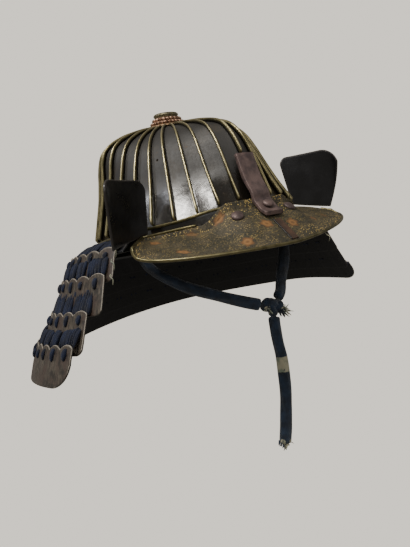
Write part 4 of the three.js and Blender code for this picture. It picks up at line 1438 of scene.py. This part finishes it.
def inner_loops(name, row, pitch, seed):
    """Where the lacing shows on a lame's inner face: a short lump across each pair of holes, above the
    lower edge."""
    rng = np.random.default_rng(40 + seed)
    long, share = girth(row)
    count = int(long[-1] / pitch) - 1
    d = np.arange(1, count + 1) * pitch + rng.normal(0, 0.8, count)
    level = lame_tall(row, 0.5) - INNER_LOOP_UP + rng.normal(0, 0.5, count)
    one, n = row_surface(row, np.interp(d - LOOP_HALF, long, share), level, -LAME_T - 0.4)
    two, n2 = row_surface(row, np.interp(d + LOOP_HALF, long, share), level, -LAME_T - 0.4)
    width, thick = rng.normal(LOOP_W, 0.4, count), rng.normal(LOOP_T, 0.3, count)
    return strand_mesh(name, one, two, np.full(count, 1.8), -unit(n + n2), width, thick)


def stitches(name, row, pitch, seed):
    """Short upright stitches on a lame's face, one to a scale, partly sunk in it."""
    rng = np.random.default_rng(20 + seed)
    long, share = girth(row)
    count = int(long[-1] / pitch)
    d = (np.arange(count) + 0.5) * pitch + rng.normal(0, 0.6, count)
    s = np.interp(d, long, share)
    high, n = row_surface(row, s, STITCH_TOP + rng.normal(0, 0.8, count), -0.3)
    low, n2 = row_surface(row, s, STITCH_LOW + rng.normal(0, 0.8, count), -0.3)
    width, thick = rng.normal(STITCH_W, 0.4, count), rng.normal(STITCH_T, 0.2, count)
    return strand_mesh(name, high, low, np.full(count, 1.5), unit(n + n2), width, thick)


def loose_thread(end):
    """A thin thread of lacing that hangs in three small bows at one end of the first lame."""
    corner = row_surface(LAMES[0], np.full(3, end), np.array([2.0, 16, 30]), 0.5)[0]
    hang = corner[:, None] + np.array([[0, 0, 0], [0, -5, -4], [0, -2, -9]])
    return cloth_tube(f"silk_thread_{end}", hang.reshape(-1, 3), 0.45, lambda s, a: 0.9, 3)[0]


class HELMET_OT_lacing(bpy.types.Operator):
    """Indigo lacing: a bundle at each dip of a lame's top edge, threads, loops inside and stitches"""
    bl_idname = "helmet.lacing"
    bl_label = "Lacing"

    def execute(self, context):
        sizes = context.scene.helmet_neck
        rows = [PLATE_ROW, *LAMES]
        for k, lower in enumerate(LAMES):
            bundles = lacing(f"silk_lacing_row_{k + 1}", rows[k], lower, sizes, k + 2)
            settle(finish_with(bundles, indigo_braid), "navy_cloth")
        for end in LACE_ENDS:
            settle(loose_thread(end), "navy_cloth")
        for k, row in enumerate(LAMES[1:3]):
            loops = inner_loops(f"silk_inner_loops_{k + 1}", row, sizes.pitch, k)
            settle(finish_with(loops, indigo_braid), "navy_cloth")
        for k, row in enumerate(LAMES):
            made = stitches(f"silk_stitches_{k + 1}", row, sizes.pitch, k)
            settle(finish_with(made, indigo_braid), "navy_cloth")
        return {"FINISHED"}


class HELMET_PT_parts(bpy.types.Panel):
    """The helmet's pieces and their sizes"""
    bl_label = "Ribbed helmet"
    bl_space_type = "VIEW_3D"
    bl_region_type = "UI"
    bl_category = "Helmet"

    def draw(self, context):
        for name, group in GROUPS.items():
            box = self.layout.box()
            for key in group.__annotations__:
                box.prop(getattr(context.scene, name), key)
        for kind in OPERATORS:
            self.layout.operator(kind.bl_idname)


OPERATORS = [HELMET_OT_stage, HELMET_OT_chin_cord, HELMET_OT_bowl, HELMET_OT_ribs, HELMET_OT_crown,
             HELMET_OT_visor, HELMET_OT_crest_bar, HELMET_OT_turnbacks, HELMET_OT_neck_guard,
             HELMET_OT_lacing]


def register():
    for kind in [*GROUPS.values(), *OPERATORS, HELMET_PT_parts]:
        bpy.utils.register_class(kind)
    for name, group in GROUPS.items():
        setattr(bpy.types.Scene, name, bpy.props.PointerProperty(type=group))


def unregister():
    for name in GROUPS:
        delattr(bpy.types.Scene, name)
    for kind in reversed([*GROUPS.values(), *OPERATORS, HELMET_PT_parts]):
        bpy.utils.unregister_class(kind)


def main():
    """Builds every piece in order."""
    register()
    for kind in OPERATORS:
        group, name = kind.bl_idname.split(".")
        getattr(getattr(bpy.ops, group), name)()


if __name__ == "__main__":
    main()
